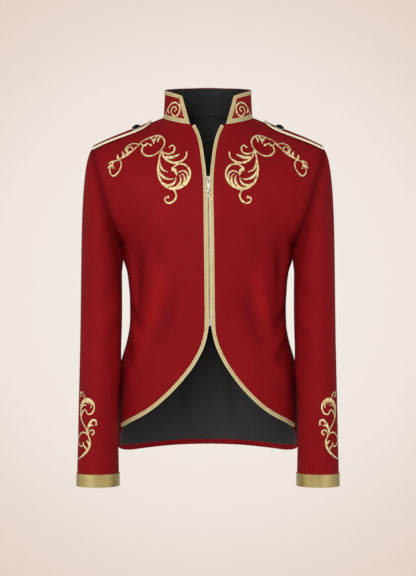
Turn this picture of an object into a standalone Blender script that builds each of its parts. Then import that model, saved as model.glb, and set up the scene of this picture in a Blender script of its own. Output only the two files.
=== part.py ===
"""Renaissance jacket: a red zip-fronted jacket with gold edges, standing hollow as if it were worn.

Metres, +Z up. The front faces -Y, and the wearer's left side is +X. The origin lies on the middle
plane, level with the two points where the shoulder seams meet the collar, under its middle.

Each panel is a grid of points. Its rows run across the cloth, from the front edge, the neckline or
the middle of the back out to the armhole or the side seam, and each row is one smooth curve.
Neighbouring panels share the points of their seam, so that every seam keeps an even gap.
"""

import math
from collections import Counter

import bmesh
import bpy
import numpy as np
from mathutils import Vector
from mathutils.bvhtree import BVHTree

# Thicknesses of cloth and trim
CLOTH = 0.0014
LINING = 0.0010
BRAID = 0.0009
BINDING = 0.0007
CUFF = 0.0011
SEAM_GAP = 0.0003

# Widths of the gold trim
BINDING_REACH = 0.0052  # of the edge binding, on the face of the cloth
COLLAR_FRONT_BRAID = 0.0090
COLLAR_FOOT_BRAID = 0.0085
COLLAR_TOP_BRAID = 0.0075
HEM_TURNING = 0.0100  # the red turned-up hem inside the back

# How finely a curve is sampled before points are read from it, and the angle of a hard edge
CURVE_STEPS = 80
SMOOTH_ANGLE = 50.0
ROUND_ANGLE = 70.0

# The fronts
EDGE_X = 0.0037  # the front edge beside the zip, from the middle plane
WAIST = -0.3620
BACK_COLUMNS = 8
SKIRT_ROWS = 7

# The half armhole, from the shoulder point down to the underarm
ARMHOLE = (
    # x, z, front y, back y
    (0.2180, -0.0560, 0.003, 0.003),
    (0.2165, -0.0660, -0.023, 0.029),
    (0.2105, -0.0860, -0.039, 0.047),
    (0.2015, -0.1120, -0.050, 0.062),
    (0.1955, -0.1370, -0.056, 0.069),
    (0.1880, -0.1650, -0.058, 0.070),
    (0.1805, -0.1890, -0.054, 0.066),
    (0.1720, -0.2120, -0.043, 0.054),
    (0.1655, -0.2300, -0.027, 0.034),
    (0.1617, -0.2400, -0.012, 0.015),
    (0.1605, -0.2430, 0.000, 0.000),
)

# Rows of the front above the underarm: the inner end, then how far the curve's handles reach
# from the inner end (across, forward, down) and from the armhole (across, forward, up)
FRONT_YOKE = (
    # x, y, z of the inner end, in_across, in_fore, in_fall, out_across, out_fore, out_rise
    (0.0855, 0.0000, -0.0013, 0.040, 0.0000, 0.0182, 0.040, 0.0000, 0.0230),
    (0.0755, -0.0345, -0.0095, 0.042, -0.0040, 0.0265, 0.040, 0.0070, 0.0215),
    (0.0540, -0.0580, -0.0175, 0.046, 0.0010, 0.0300, 0.042, 0.0170, 0.0100),
    (0.0330, -0.0690, -0.0220, 0.050, 0.0100, 0.0460, 0.045, 0.0270, 0.0040),
    (0.0247, -0.0730, -0.0235, 0.052, 0.0170, 0.0500, 0.045, 0.0300, 0.0120),
    (0.0163, -0.0815, -0.0400, 0.056, 0.0200, 0.0500, 0.045, 0.0340, 0.0160),
    (0.0108, -0.0925, -0.0640, 0.060, 0.0160, 0.0420, 0.042, 0.0420, 0.0220),
    (0.0075, -0.1020, -0.0900, 0.064, 0.0110, 0.0340, 0.034, 0.0540, 0.0260),
    (0.0037, -0.1115, -0.1210, 0.068, 0.0060, 0.0260, 0.022, 0.0640, 0.0280),
    (0.0037, -0.1160, -0.1600, 0.072, 0.0035, 0.0180, 0.010, 0.0720, 0.0240),
    (0.0037, -0.1180, -0.2000, 0.076, 0.0020, 0.0120, 0.002, 0.0760, 0.0140),
)
NECK_END_ROW = 3  # the row that meets the front end of the collar
V_TOP_ROW = 4

# Rows of the back above the underarm, in the same way, with "aft" for the forward columns
BACK_YOKE = (
    (0.0855, 0.0000, -0.0013, 0.040, 0.0000, 0.0182, 0.040, 0.0000, 0.0230),
    (0.0793, 0.0281, 0.0035, 0.042, 0.0060, 0.0180, 0.040, 0.0080, 0.0210),
    (0.0605, 0.0530, 0.0085, 0.046, 0.0120, 0.0260, 0.042, 0.0220, 0.0140),
    (0.0320, 0.0695, 0.0125, 0.052, 0.0160, 0.0320, 0.045, 0.0280, 0.0140),
    (0.0000, 0.0750, 0.0140, 0.062, 0.0060, 0.0120, 0.048, 0.0340, 0.0220),
    (0.0000, 0.0865, -0.0220, 0.066, 0.0040, 0.0080, 0.048, 0.0380, 0.0200),
    (0.0000, 0.0985, -0.0600, 0.068, 0.0030, 0.0060, 0.045, 0.0440, 0.0220),
    (0.0000, 0.1085, -0.1000, 0.070, 0.0020, 0.0050, 0.036, 0.0550, 0.0240),
    (0.0000, 0.1150, -0.1400, 0.072, 0.0010, 0.0040, 0.024, 0.0680, 0.0220),
    (0.0000, 0.1175, -0.1780, 0.074, 0.0010, 0.0030, 0.010, 0.0780, 0.0160),
    (0.0000, 0.1170, -0.2100, 0.076, 0.0000, 0.0020, 0.002, 0.0820, 0.0100),
)
BACK_NECK_ROW = 4  # the row at the middle of the back neck
SHOULDER_ROUND = 0.2  # how much of the fore and aft slope the cloth keeps at the shoulder seam

# Rows between the underarm and the waist
CHEST = (
    # z at the side seam, front middle z, front depth, back middle z, back depth, half width
    (-0.262, -0.231, 0.1182, -0.237, 0.1155, 0.1578),
    (-0.281, -0.260, 0.1174, -0.264, 0.1125, 0.1553),
    (-0.301, -0.289, 0.1150, -0.292, 0.1075, 0.1517),
    (-0.321, -0.316, 0.1115, -0.318, 0.1020, 0.1487),
    (-0.342, -0.341, 0.1075, -0.341, 0.0975, 0.1472),
    (-0.362, -0.362, 0.1045, -0.362, 0.0945, 0.1463),
)

# Level sections from the waist to below the hem
SKIRT = (
    # z, front depth, back depth, half width
    (-0.362, 0.1045, 0.0945, 0.1463),
    (-0.381, 0.1030, 0.0930, 0.1450),
    (-0.400, 0.1025, 0.0925, 0.1466),
    (-0.422, 0.1030, 0.0935, 0.1520),
    (-0.445, 0.1045, 0.0955, 0.1595),
    (-0.480, 0.1070, 0.1000, 0.1655),
    (-0.520, 0.1100, 0.1050, 0.1685),
    (-0.560, 0.1130, 0.1095, 0.1695),
    (-0.604, 0.1155, 0.1130, 0.1690),
    (-0.640, 0.1170, 0.1155, 0.1685),
)
FRONT_FULLNESS = 0.50  # the handle across the front, as a share of the half width
BACK_FULLNESS = 0.52
SIDE_FULLNESS = 0.62  # the handle at the side seam, as a share of the depth
ROW_SLOPE = 0.35  # each handle's share of the fall between the middle and the side

# The cut-away edge of the fronts, from the foot of the zip to the side seam
CUTAWAY = (
    # distance across the cloth from the front edge, z
    (0.0000, -0.3910),
    (0.0009, -0.3985),
    (0.0058, -0.4225),
    (0.0153, -0.4430),
    (0.0274, -0.4645),
    (0.0440, -0.4860),
    (0.0630, -0.5076),
    (0.0872, -0.5300),
    (0.1104, -0.5465),
    (0.1343, -0.5585),
    (0.1579, -0.5675),
    (0.1790, -0.5765),
    (0.2010, -0.6000),
    (0.2230, -0.6200),
)
BOUND_PLACES = 12  # rows of that table, from the top, that carry the binding

CORNER_RISE = 0.7  # where the cut-away starts, its upper row lies this share of the binding higher

# The hem of the back, from the middle to the side seam
BACK_HEM = (
    # share of the way across, z
    (0.00, -0.6270),
    (0.30, -0.6280),
    (0.55, -0.6310),
    (0.75, -0.6320),
    (0.88, -0.6280),
    (1.00, -0.6200),
)

# How far the closed front leans to the wearer's left
LEAN = (
    # z, shift
    (0.000, 0.0000),
    (-0.100, 0.0000),
    (-0.250, 0.0020),
    (-0.391, 0.0036),
    (-0.450, 0.0038),
    (-0.530, 0.0018),
    (-0.600, 0.0000),
)
LEAN_REACH = 0.140  # the lean fades out at this distance from the middle plane
LEAN_DEPTH = 0.050  # and it is whole from this distance ahead of the side seams

# The sleeve head: the handles at the armhole, from the shoulder point round to the underarm,
# and how far the handle rises above the bicep ring
SLEEVE_HEAD = (
    # armhole place, out, fore, fall, rise
    (0, 0.0115, 0.0000, 0.0070, 0.175),
    (2, 0.0150, 0.0080, 0.0110, 0.165),
    (4, 0.0180, 0.0170, 0.0160, 0.140),
    (6, 0.0150, 0.0200, 0.0220, 0.100),
    (8, 0.0075, 0.0130, 0.0200, 0.045),
    (10, 0.0022, 0.0000, 0.0120, 0.020),
)
HEAD_STEPS = (0.14, 0.34, 0.56, 0.78)

# Rings of the sleeve, from the bicep to the wrist. The cuff's band lies between the last two
SLEEVE = (
    # z, middle x, middle y, half width, half depth, rise of the front
    (-0.300, 0.19960, -0.004, 0.03875, 0.0690, 0.0000),
    (-0.345, 0.19930, -0.008, 0.03920, 0.0670, 0.0000),
    (-0.390, 0.19920, -0.015, 0.03920, 0.0645, 0.0000),
    (-0.435, 0.19970, -0.024, 0.03860, 0.0620, 0.0000),
    (-0.480, 0.20050, -0.033, 0.03800, 0.0595, 0.0000),
    (-0.525, 0.20150, -0.041, 0.03730, 0.0570, 0.0000),
    (-0.570, 0.20250, -0.047, 0.03680, 0.0545, 0.0010),
    (-0.615, 0.20200, -0.052, 0.03780, 0.0520, 0.0020),
    (-0.660, 0.20170, -0.056, 0.03890, 0.0492, 0.0030),
    (-0.683, 0.20180, -0.058, 0.03900, 0.0478, 0.0030),
)

# The stand collar: its foot follows the necklines, and its top edge is part of an ellipse
COLLAR_TOP_WIDTH = 0.083  # half width
COLLAR_TOP_DEPTH = 0.0735  # half depth
COLLAR_TOP_FRONT = 34.9  # degrees from the front middle, where the top edge starts
COLLAR_TOP_HEIGHTS = (
    # degrees from the front middle, z
    (34.9, 0.0310),
    (50.0, 0.0385),
    (90.0, 0.0515),
    (135.0, 0.0620),
    (180.0, 0.0670),
)

# The zip. Depths are measured into the jacket from the outer face of the fronts
TAPE = 0.0005
TAPE_EDGE = 0.0008  # the tape's edge, past the front's edge
CHAIN_HALF_WIDTH = 0.0024
CHAIN_THICKNESS = 0.0022
CHAIN_TOP = -0.1365
CHAIN_POINTS = 14
TAPE_TOP = -0.1220
TAPE_POINTS = 15
STOP_TOP = -0.3775
STOP_PROUD = (0.0009, 0.0004)  # of the chain, on its outer and its inner face
ZIP_END = -0.3890
SLIDER_Z = -0.1280
SLIDER_REACH = 0.0080  # the stretch of the zip that gives the slider its slope, either way
SLIDER_OUTLINE = (
    # half width, distance below the slider's middle
    (0.0026, -0.0070),
    (0.0043, -0.0058),
    (0.0044, -0.0020),
    (0.0034, 0.0030),
    (0.0030, 0.0062),
    (0.0018, 0.0070),
)
SLIDER_PLATE = 0.0012
SLIDER_POST = (0.0019, 0.0052)  # half width and half height
ARCH_WIDTH = 0.0022
ARCH_WALL = 0.0008
ARCH_HEIGHT = 0.0020  # clear height over the plate
ARCH_LENGTH = 0.0038  # clear length
ARCH_ROOT = 0.0004  # how far its feet reach into the plate
PIVOT_DROP = -0.0008  # the pull tab's axis, below the slider's middle
TAB_THICKNESS = 0.0010
TAB_LEAN = 0.040  # how much the hanging tab closes in on the zip, over its length
TAB_OUTLINE = (
    # half width, distance from the axis
    (0.0024, -0.0005),
    (0.0026, 0.0062),
    (0.0021, 0.0095),
    (0.0027, 0.0200),
    (0.0031, 0.0255),
    (0.0024, 0.0290),
    (0.0010, 0.0302),
)
TAB_SLOT = (0.0016, 0.0005, 0.0050)  # half width, start and end from the axis
TAB_HOLE = (0.0011, 0.0225, 0.0262)

# The shoulder straps
STRAP_OUTLINE = (
    # x, half width
    (0.2140, 0.0235),
    (0.1980, 0.0240),
    (0.1800, 0.0245),
    (0.1620, 0.0240),
    (0.1460, 0.0235),
    (0.1330, 0.0230),
    (0.1240, 0.0208),
    (0.1170, 0.0165),
    (0.1120, 0.0105),
    (0.1090, 0.0035),
)
STRAP_SHARES = (-1.0, -0.66, -0.33, 0.0, 0.33, 0.66, 1.0)  # places across the strap
STRAP_LIFT = 0.0009
STRAP_THICKNESS = 0.0016
PIPING = 0.0021  # radius
PIPING_SIDES = 6
BUTTON_X = 0.1325
BUTTON_FORE = 0.0120  # ahead of the middle of the strap, which tips its face forwards
BUTTON_REACH = 0.0050  # the stretch of the strap that gives the button its slope, either way
BUTTON_SIDES = 24
BUTTON_PROFILE = (
    # radius, height over the strap
    (0.0000, 0.0000),
    (0.0030, 0.0000),
    (0.0034, 0.0008),
    (0.0078, 0.0010),
    (0.0086, 0.0018),
    (0.0084, 0.0027),
    (0.0076, 0.0031),
    (0.0070, 0.0027),
    (0.0046, 0.0040),
    (0.0000, 0.0046),
)

# Colours are linear, and each finish gives its roughness and how metallic it is
RED_CLOTH = ((0.240, 0.011, 0.014), 0.75, 0.0)
BLACK_LINING = ((0.020, 0.020, 0.020), 0.55, 0.0)
GOLD_BRAID = ((0.560, 0.400, 0.190), 0.45, 0.0)
GOLD_SATIN = ((0.480, 0.350, 0.150), 0.35, 0.0)
ZIP_BEIGE = ((0.620, 0.540, 0.400), 0.60, 0.0)
ZIP_METAL = ((0.780, 0.720, 0.600), 0.25, 1.0)
BUTTON_BLACK = ((0.012, 0.012, 0.014), 0.25, 0.0)


# Small helpers


def unit(vectors):
    """Vectors of length one."""
    return vectors / np.linalg.norm(vectors, axis=-1, keepdims=True)


def column(table, place, value, at):
    """A column of a table of numbers, read between its rows."""
    rows = np.array(table, float)
    rows = rows[np.argsort(rows[:, place])]
    return np.interp(at, rows[:, place], rows[:, value])


def bezier(start, start_handle, end_handle, end, t):
    """Points of a cubic curve."""
    t = np.asarray(t, float)[:, None]
    return (
        (1 - t) ** 3 * start
        + 3 * (1 - t) ** 2 * t * start_handle
        + 3 * (1 - t) * t**2 * end_handle
        + t**3 * end
    )


def run_along(curve):
    """The distance along a finely sampled curve, at each of its points."""
    steps = np.linalg.norm(np.diff(curve, axis=0), axis=1)
    return np.concatenate([[0.0], np.cumsum(steps)])


def at_distances(curve, distances):
    """Points of a finely sampled curve at the given distances from its start."""
    run = run_along(curve)
    return np.stack([np.interp(distances, run, curve[:, k]) for k in range(3)], axis=1)


def material(name, finish):
    """A plain finish: colour, roughness and metallic value."""
    colour, roughness, metallic = finish
    made = bpy.data.materials.get(name) or bpy.data.materials.new(name)
    made.use_nodes = True
    shader = made.node_tree.nodes["Principled BSDF"]
    shader.inputs["Base Color"].default_value = (*colour, 1.0)
    shader.inputs["Roughness"].default_value = roughness
    shader.inputs["Metallic"].default_value = metallic
    made.diffuse_color = (*colour, 1.0)
    return made


def add_object(name, vertices, faces, finish, smooth_angle=SMOOTH_ANGLE):
    """An object with its own mesh and material, its round parts shaded smooth."""
    mesh = bpy.data.meshes.new(name)
    mesh.from_pydata([tuple(v) for v in vertices], [], faces)
    mesh.update()
    mesh.shade_smooth()
    mesh.set_sharp_from_angle(angle=math.radians(smooth_angle))
    mesh.materials.append(material(name, finish))
    made = bpy.data.objects.new(name, mesh)
    bpy.context.scene.collection.objects.link(made)
    return made


# Panels of cloth


class Panel:
    """A grid of points on the outer face of the cloth, with the way out and the way in."""

    def __init__(self, points, turn, closed=False):
        self.points = np.array(points, float)
        self.closed = closed  # the rows are rings
        self.out = turn * grid_normals(self.points, closed)
        self.way_in = -self.out

    def depth(self, distance):
        """The points moved into the cloth, or out of it where the distance is negative."""
        way = self.way_in if distance >= 0 else self.out
        return self.points + way * abs(distance)


def grid_normals(points, closed):
    """The outward direction at each point of a grid: rows run down, columns to the right."""
    if closed:
        across = np.roll(points, -1, axis=1) - np.roll(points, 1, axis=1)
    else:
        across = np.gradient(points, axis=1)
    down = np.gradient(points, axis=0)
    return unit(np.cross(down, across))


def meet(first, first_next, second, second_next):
    """Across a seam, the direction from the first panel to the second at each shared point."""
    along = unit(np.gradient(first, axis=0))

    def square(way):
        return unit(way - along * np.sum(way * along, axis=1, keepdims=True))

    return unit(square(first - first_next) + square(second_next - second))


def draw_back(panel, place, way):
    """Moves a panel's seam points half the seam's gap back, and keeps its wall on its own side.

    `way` points from the panel across the seam.
    """
    panel.points[place] -= way * SEAM_GAP / 2
    past = np.maximum(np.sum(panel.way_in[place] * way, axis=1, keepdims=True), 0)
    panel.way_in[place] -= way * past


def share_normals(first, first_place, second, second_place):
    """Gives two panels one outward direction along the seam between them."""
    both = unit(first.out[first_place] + second.out[second_place])
    first.out[first_place] = second.out[second_place] = both
    first.way_in[first_place] = second.way_in[second_place] = -both


def solid(name, layers, finish, keep=None):
    """One closed wall between two layers of points.

    `layers` holds, for each grid that the wall is made of, its outer points, its inner points, the
    points whose shorter diagonals split its cells, and whether its rows are rings. Points that lie
    in one place are one point. `keep` picks cells.
    """
    places, outer, inner, corners = {}, [], [], []
    for number, (top, under, base, closed) in enumerate(layers):
        rows, columns = top.shape[:2]
        index = np.zeros((rows, columns), int)
        for r, c in np.ndindex(rows, columns):
            key = tuple(np.round(top[r, c], 6) + 0.0)
            if key not in places:
                places[key] = len(outer)
                outer.append(top[r, c])
                inner.append(under[r, c])
            index[r, c] = places[key]
        for r, c in np.ndindex(rows - 1, columns if closed else columns - 1):
            if keep and not keep(number, r, c):
                continue
            d = (c + 1) % columns
            cell = [(r, c), (r + 1, c), (r + 1, d), (r, d)]
            falling = np.linalg.norm(base[cell[0]] - base[cell[2]])
            rising = np.linalg.norm(base[cell[1]] - base[cell[3]])
            if rising < falling:
                cell = cell[1:] + cell[:1]
            first, second, third, fourth = (int(index[spot]) for spot in cell)
            corners += [(first, second, third), (first, third, fourth)]
    used = sorted({k for corner in corners for k in corner})
    renumber = {k: i for i, k in enumerate(used)}
    corners = [tuple(renumber[k] for k in corner) for corner in corners]
    count = len(used)
    faces = corners + [tuple(k + count for k in reversed(corner)) for corner in corners]
    uses = Counter(
        tuple(sorted((corner[i], corner[(i + 1) % 3]))) for corner in corners for i in range(3)
    )
    for (a, b), times in uses.items():
        if times == 1:
            faces.append((a, b, b + count, a + count))
    vertices = [outer[k] for k in used] + [inner[k] for k in used]
    made = add_object(name, vertices, faces, finish)
    face_outwards(made)
    return made


def swept(name, sections, finish, smooth_angle=SMOOTH_ANGLE):
    """A solid through closed sections, each a list of points in the same order."""
    count = len(sections[0])
    vertices = [point for section in sections for point in section]
    faces = []
    rings = len(sections)
    for s in range(rings - 1):
        for k in range(count):
            m = (k + 1) % count
            a, b = s * count, (s + 1) * count
            faces.append((a + k, b + k, b + m, a + m))
    faces.append(tuple(range(count)))
    faces.append(tuple((rings - 1) * count + k for k in reversed(range(count))))
    made = add_object(name, vertices, faces, finish, smooth_angle)
    face_outwards(made)
    return made


def face_outwards(made):
    """Turns all faces of a closed mesh outwards."""
    shape = bmesh.new()
    shape.from_mesh(made.data)
    bmesh.ops.recalc_face_normals(shape, faces=shape.faces)
    shape.to_mesh(made.data)
    shape.free()


# The torso. The rows are worked out for the wearer's left, where x is positive


def yoke_row(row, hole, sense):
    """The curve of a row above the underarm: sense is -1 on the front and 1 on the back."""
    x, y, z, in_across, in_fore, in_fall, out_across, out_fore, out_rise = row
    start = np.array([x, y, z])
    end = np.array(hole)
    return bezier(
        start,
        start + (in_across, sense * in_fore, -in_fall),
        end + (-out_across, sense * out_fore, out_rise),
        end,
        np.linspace(0, 1, CURVE_STEPS + 1),
    )


def body_row(middle_z, side_z, depth, half_width, inner_x, sense):
    """The curve of a row below the underarm."""
    fullness = FRONT_FULLNESS if sense < 0 else BACK_FULLNESS
    start = np.array([inner_x, sense * depth, middle_z])
    end = np.array([half_width, 0.0, side_z])
    drop = (side_z - middle_z) * ROW_SLOPE
    return bezier(
        start,
        start + (fullness * half_width, 0.0, drop),
        end + (0.0, sense * SIDE_FULLNESS * depth, -drop),
        end,
        np.linspace(0, 1, CURVE_STEPS + 1),
    )


def skirt_row(z, inner_x, sense):
    """A level row below the waist."""
    depth = column(SKIRT, 0, 1 if sense < 0 else 2, z)
    return body_row(z, z, depth, column(SKIRT, 0, 3, z), inner_x, sense)


def upper_rows(sense):
    """The curves of the rows from the shoulder seam to the waist."""
    front = sense < 0
    yoke, hole_y = (FRONT_YOKE, 2) if front else (BACK_YOKE, 3)
    rows = [
        yoke_row(row, (hole[0], hole[hole_y], hole[1]), sense)
        for row, hole in zip(yoke, ARMHOLE)
    ]
    for side_z, front_z, front_depth, back_z, back_depth, half_width in CHEST:
        if front:
            rows.append(body_row(front_z, side_z, front_depth, half_width, EDGE_X, sense))
        else:
            rows.append(body_row(back_z, side_z, back_depth, half_width, 0.0, sense))
    return rows


def skirt_line(runs, heights, inner_x, sense):
    """Points below the waist, at distances across the cloth and heights; the last is the side."""
    line = [
        at_distances(skirt_row(z, inner_x, sense), [run])[0] for run, z in zip(runs, heights)
    ]
    line[-1] = skirt_row(heights[-1], inner_x, sense)[-1]
    return np.array(line)


def front_grid():
    """Points of a front. Its first column and its last row follow the bound edge."""
    rows = upper_rows(-1)
    edge_run, edge_z = np.array(CUTAWAY).T
    width = np.array([run_along(skirt_row(z, EDGE_X, -1))[-1] for z in edge_z])
    edge_run = edge_run.copy()
    edge_run[-1] = width[-1]
    along = unit(np.gradient(np.stack([edge_run, edge_z], axis=1), axis=0))
    # The row just above the edge keeps the binding's width from it
    upper_run = edge_run - along[:, 1] * BINDING_REACH
    upper_z = edge_z + along[:, 0] * BINDING_REACH
    upper_run[0], upper_z[0] = 0.0, edge_z[0] + BINDING_REACH * CORNER_RISE
    upper_run[-1] = width[-1]
    shares = (upper_run - BINDING_REACH) / (width - BINDING_REACH)
    shares[1] = 0.0

    def spread(whole):
        runs = BINDING_REACH + (whole - BINDING_REACH) * shares
        runs[0], runs[-1] = 0.0, whole
        return runs

    grid = [at_distances(row, spread(run_along(row)[-1])) for row in rows]
    waist = spread(run_along(rows[-1])[-1])
    for step in range(1, SKIRT_ROWS + 1):
        t = step / SKIRT_ROWS
        runs = waist + (upper_run - waist) * t
        grid.append(skirt_line(runs, WAIST + (upper_z - WAIST) * t, EDGE_X, -1))
    grid.append(skirt_line(edge_run, edge_z, EDGE_X, -1))
    return np.array(grid)


def back_grid(side_heights):
    """Points of a half of the back. Below the waist its rows meet the front's at the side."""
    shares = np.linspace(0, 1, BACK_COLUMNS + 1)
    grid = [at_distances(row, shares * run_along(row)[-1]) for row in upper_rows(1)]
    hem = column(BACK_HEM, 0, 1, shares)
    for step, side_z in enumerate(side_heights, start=1):
        if step > SKIRT_ROWS:
            heights = hem.copy()
        else:
            heights = WAIST + (hem + HEM_TURNING - WAIST) * step / SKIRT_ROWS
        heights[-1] = side_z
        whole = np.array([run_along(skirt_row(z, 0.0, 1))[-1] for z in heights])
        grid.append(skirt_line(shares * whole, heights, 0.0, 1))
    return np.array(grid)


def sleeve_grid():
    """Rings of a sleeve, from the armhole to the wrist: down the front, and up the back."""
    front = [(x, y, z) for x, z, y, _ in ARMHOLE]
    back = [(x, y, z) for x, z, _, y in ARMHOLE[-2:0:-1]]
    loop = np.array(front + back)
    count = len(loop)
    place = np.arange(count)
    steps = np.minimum(place, count - place)
    sense = np.where(place <= count // 2, -1.0, 1.0)
    angle = 2 * math.pi * place / count

    def ring(z, middle_x, middle_y, half_width, half_depth, front_rise):
        x = middle_x + half_width * np.cos(angle)
        y = middle_y - half_depth * np.sin(angle)
        return np.stack([x, y, z + front_rise * np.sin(angle)], axis=1)

    out, fore, fall, rise = (column(SLEEVE_HEAD, 0, k, steps) for k in range(1, 5))
    bicep = ring(*SLEEVE[0])
    handle = loop + np.stack([out, sense * fore, -fall], axis=1)
    lower = bicep + np.stack([0 * rise, 0 * rise, rise], axis=1)
    rings = [loop]
    for t in HEAD_STEPS:
        ends = zip(loop, handle, lower, bicep)
        rings.append(np.array([bezier(*four, [t])[0] for four in ends]))
    rings += [ring(*row) for row in SLEEVE]
    return np.array(rings)


def lean(points):
    """The points with the lean of the closed front."""
    moved = np.array(points, float)
    fade = np.clip(1 - np.abs(moved[..., 0]) / LEAN_REACH, 0, 1)
    ahead = np.clip(-moved[..., 1] / LEAN_DEPTH, 0, 1)
    shift = column(LEAN, 0, 1, moved[..., 2])
    moved[..., 0] += shift * fade * fade * (3 - 2 * fade) * ahead
    return moved


def half(side):
    """Front, back and sleeve of one side, with their seams drawn apart: side is 1 or -1."""
    flip = np.array([side, 1.0, 1.0])
    front_points = front_grid()
    below = len(FRONT_YOKE) + len(CHEST)
    back_points = back_grid(front_points[below:, -1, 2])
    front = Panel(lean(front_points * flip), side)
    back = Panel(back_points * flip, -side)
    sleeve = Panel(sleeve_grid() * flip, -side, closed=True)
    # Both halves of the back run level into each other
    centre = back.out[BACK_NECK_ROW:, 0] * (0, 1, 1)
    back.out[BACK_NECK_ROW:, 0] = unit(centre)
    back.way_in = -back.out
    return front, back, sleeve


def join_half(front, back, sleeve):
    """Draws the shoulder, side and armhole seams of one side apart."""
    hole = len(ARMHOLE)
    seams = []
    # Along the shoulder seam each panel has its own columns, and both run level into it
    for panel, sense in ((front, 1.0), (back, -1.0)):
        panel.out[0] = unit(panel.out[0] * (1, SHOULDER_ROUND, 1))
        panel.way_in[0] = -panel.out[0]
        seams.append((panel, np.s_[0, :], np.tile([0, sense, 0], (panel.points.shape[1], 1))))
    side = np.s_[hole - 1 :, -1]
    along_side = meet(
        front.points[side],
        front.points[hole - 1 :, -2],
        back.points[side],
        back.points[hole - 1 :, -2],
    )
    share_normals(front, side, back, side)
    seams.append((front, side, along_side))
    seams.append((back, side, -along_side))
    for panel, places in (
        (front, range(hole)),
        (back, [0] + list(range(2 * hole - 3, hole - 2, -1))),
    ):
        places = list(places)
        edge, inner = panel.points[:hole, -1], panel.points[:hole, -2]
        beyond = sleeve.points[1, places]
        way = meet(edge, inner, sleeve.points[0, places], beyond)
        seams.append((panel, np.s_[:hole, -1], way))
        skip = 0 if panel is front else 1
        chosen = places[skip : hole - skip]
        seams.append((sleeve, (0, chosen), -way[skip : hole - skip]))
    for panel, place, way in seams:
        draw_back(panel, place, way)


def lift_neck(panel, rows):
    """Tips the panel's edge at the neckline back, clear of the collar that stands on it."""
    way = unit(unit(panel.points[rows, 0] - panel.points[rows, 1]) + (0, 0, 1))
    draw_back(panel, (rows, 0), way)


def make_shells(left, right):
    """Fronts, back, lining, turned-up hem and sleeves."""
    for (front, back, sleeve), name in ((left, "left"), (right, "right")):
        wall(f"front_{name}", [front], 0, CLOTH, RED_CLOTH)
        wall(f"sleeve_{name}", [sleeve], 0, CLOTH, RED_CLOTH)
        last = len(sleeve.points) - 2
        wall(
            f"cuff_{name}",
            [sleeve],
            -SEAM_GAP - CUFF,
            -SEAM_GAP,
            GOLD_SATIN,
            lambda n, r, c: r == last,
        )
    backs = [left[1], right[1]]
    hem = backs[0].points.shape[0] - 2
    inside = CLOTH + SEAM_GAP
    wall("back", backs, 0, CLOTH, RED_CLOTH)
    wall(
        "back_lining",
        backs,
        inside,
        inside + LINING,
        BLACK_LINING,
        lambda n, r, c: r < hem,
    )
    wall("back_hem", backs, inside, inside + LINING, RED_CLOTH, lambda n, r, c: r == hem)


def wall(name, panels, near, far, finish, keep=None):
    """A closed wall between two depths of one or more panels."""
    layers = [
        (panel.depth(near), panel.depth(far), panel.points, panel.closed) for panel in panels
    ]
    return solid(name, layers, finish, keep)


def collar_panel(left, right):
    """The collar's points, from its left front end round the back to its right front end."""
    ends = []
    for front, back, _ in (left, right):
        foot = [front.points[r, 0] for r in range(NECK_END_ROW, -1, -1)]
        foot += [back.points[r, 0] for r in range(1, BACK_NECK_ROW + 1)]
        step = foot[1] - foot[0]
        braid = foot[0] + step * COLLAR_FRONT_BRAID / np.linalg.norm(step)
        foot = np.array([foot[0], braid] + foot[1:])
        degrees = np.linspace(COLLAR_TOP_FRONT, 180, CURVE_STEPS + 1)
        angle = np.radians(degrees)
        side = np.sign(foot[0, 0])
        edge = np.stack(
            [
                side * COLLAR_TOP_WIDTH * np.sin(angle),
                -COLLAR_TOP_DEPTH * np.cos(angle),
                column(COLLAR_TOP_HEIGHTS, 0, 1, degrees),
            ],
            axis=1,
        )
        run = run_along(foot)
        top = at_distances(edge, run / run[-1] * run_along(edge)[-1])
        ends.append((top, foot + (0, 0, SEAM_GAP)))
    (top, foot), (right_top, right_foot) = ends
    top = np.concatenate([top, right_top[-2::-1]])
    foot = np.concatenate([foot, right_foot[-2::-1]])
    down = foot - top
    length = np.linalg.norm(down, axis=1, keepdims=True)
    rows = [
        top,
        top + down * COLLAR_TOP_BRAID / length,
        top + down * 0.5,
        foot - down * COLLAR_FOOT_BRAID / length,
        foot,
    ]
    return Panel(rows, 1)


def make_collar(left, right):
    """The collar, its lining and its gold braid."""
    panel = collar_panel(left, right)
    rows, columns = panel.points.shape[:2]
    inside = CLOTH + SEAM_GAP
    wall("collar", [panel], 0, CLOTH, RED_CLOTH)
    wall("collar_lining", [panel], inside, inside + LINING, BLACK_LINING)
    wall(
        "collar_braid",
        [panel],
        -SEAM_GAP - BRAID,
        -SEAM_GAP,
        GOLD_BRAID,
        lambda n, r, c: r in (0, rows - 2) or c in (0, columns - 2),
    )


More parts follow.
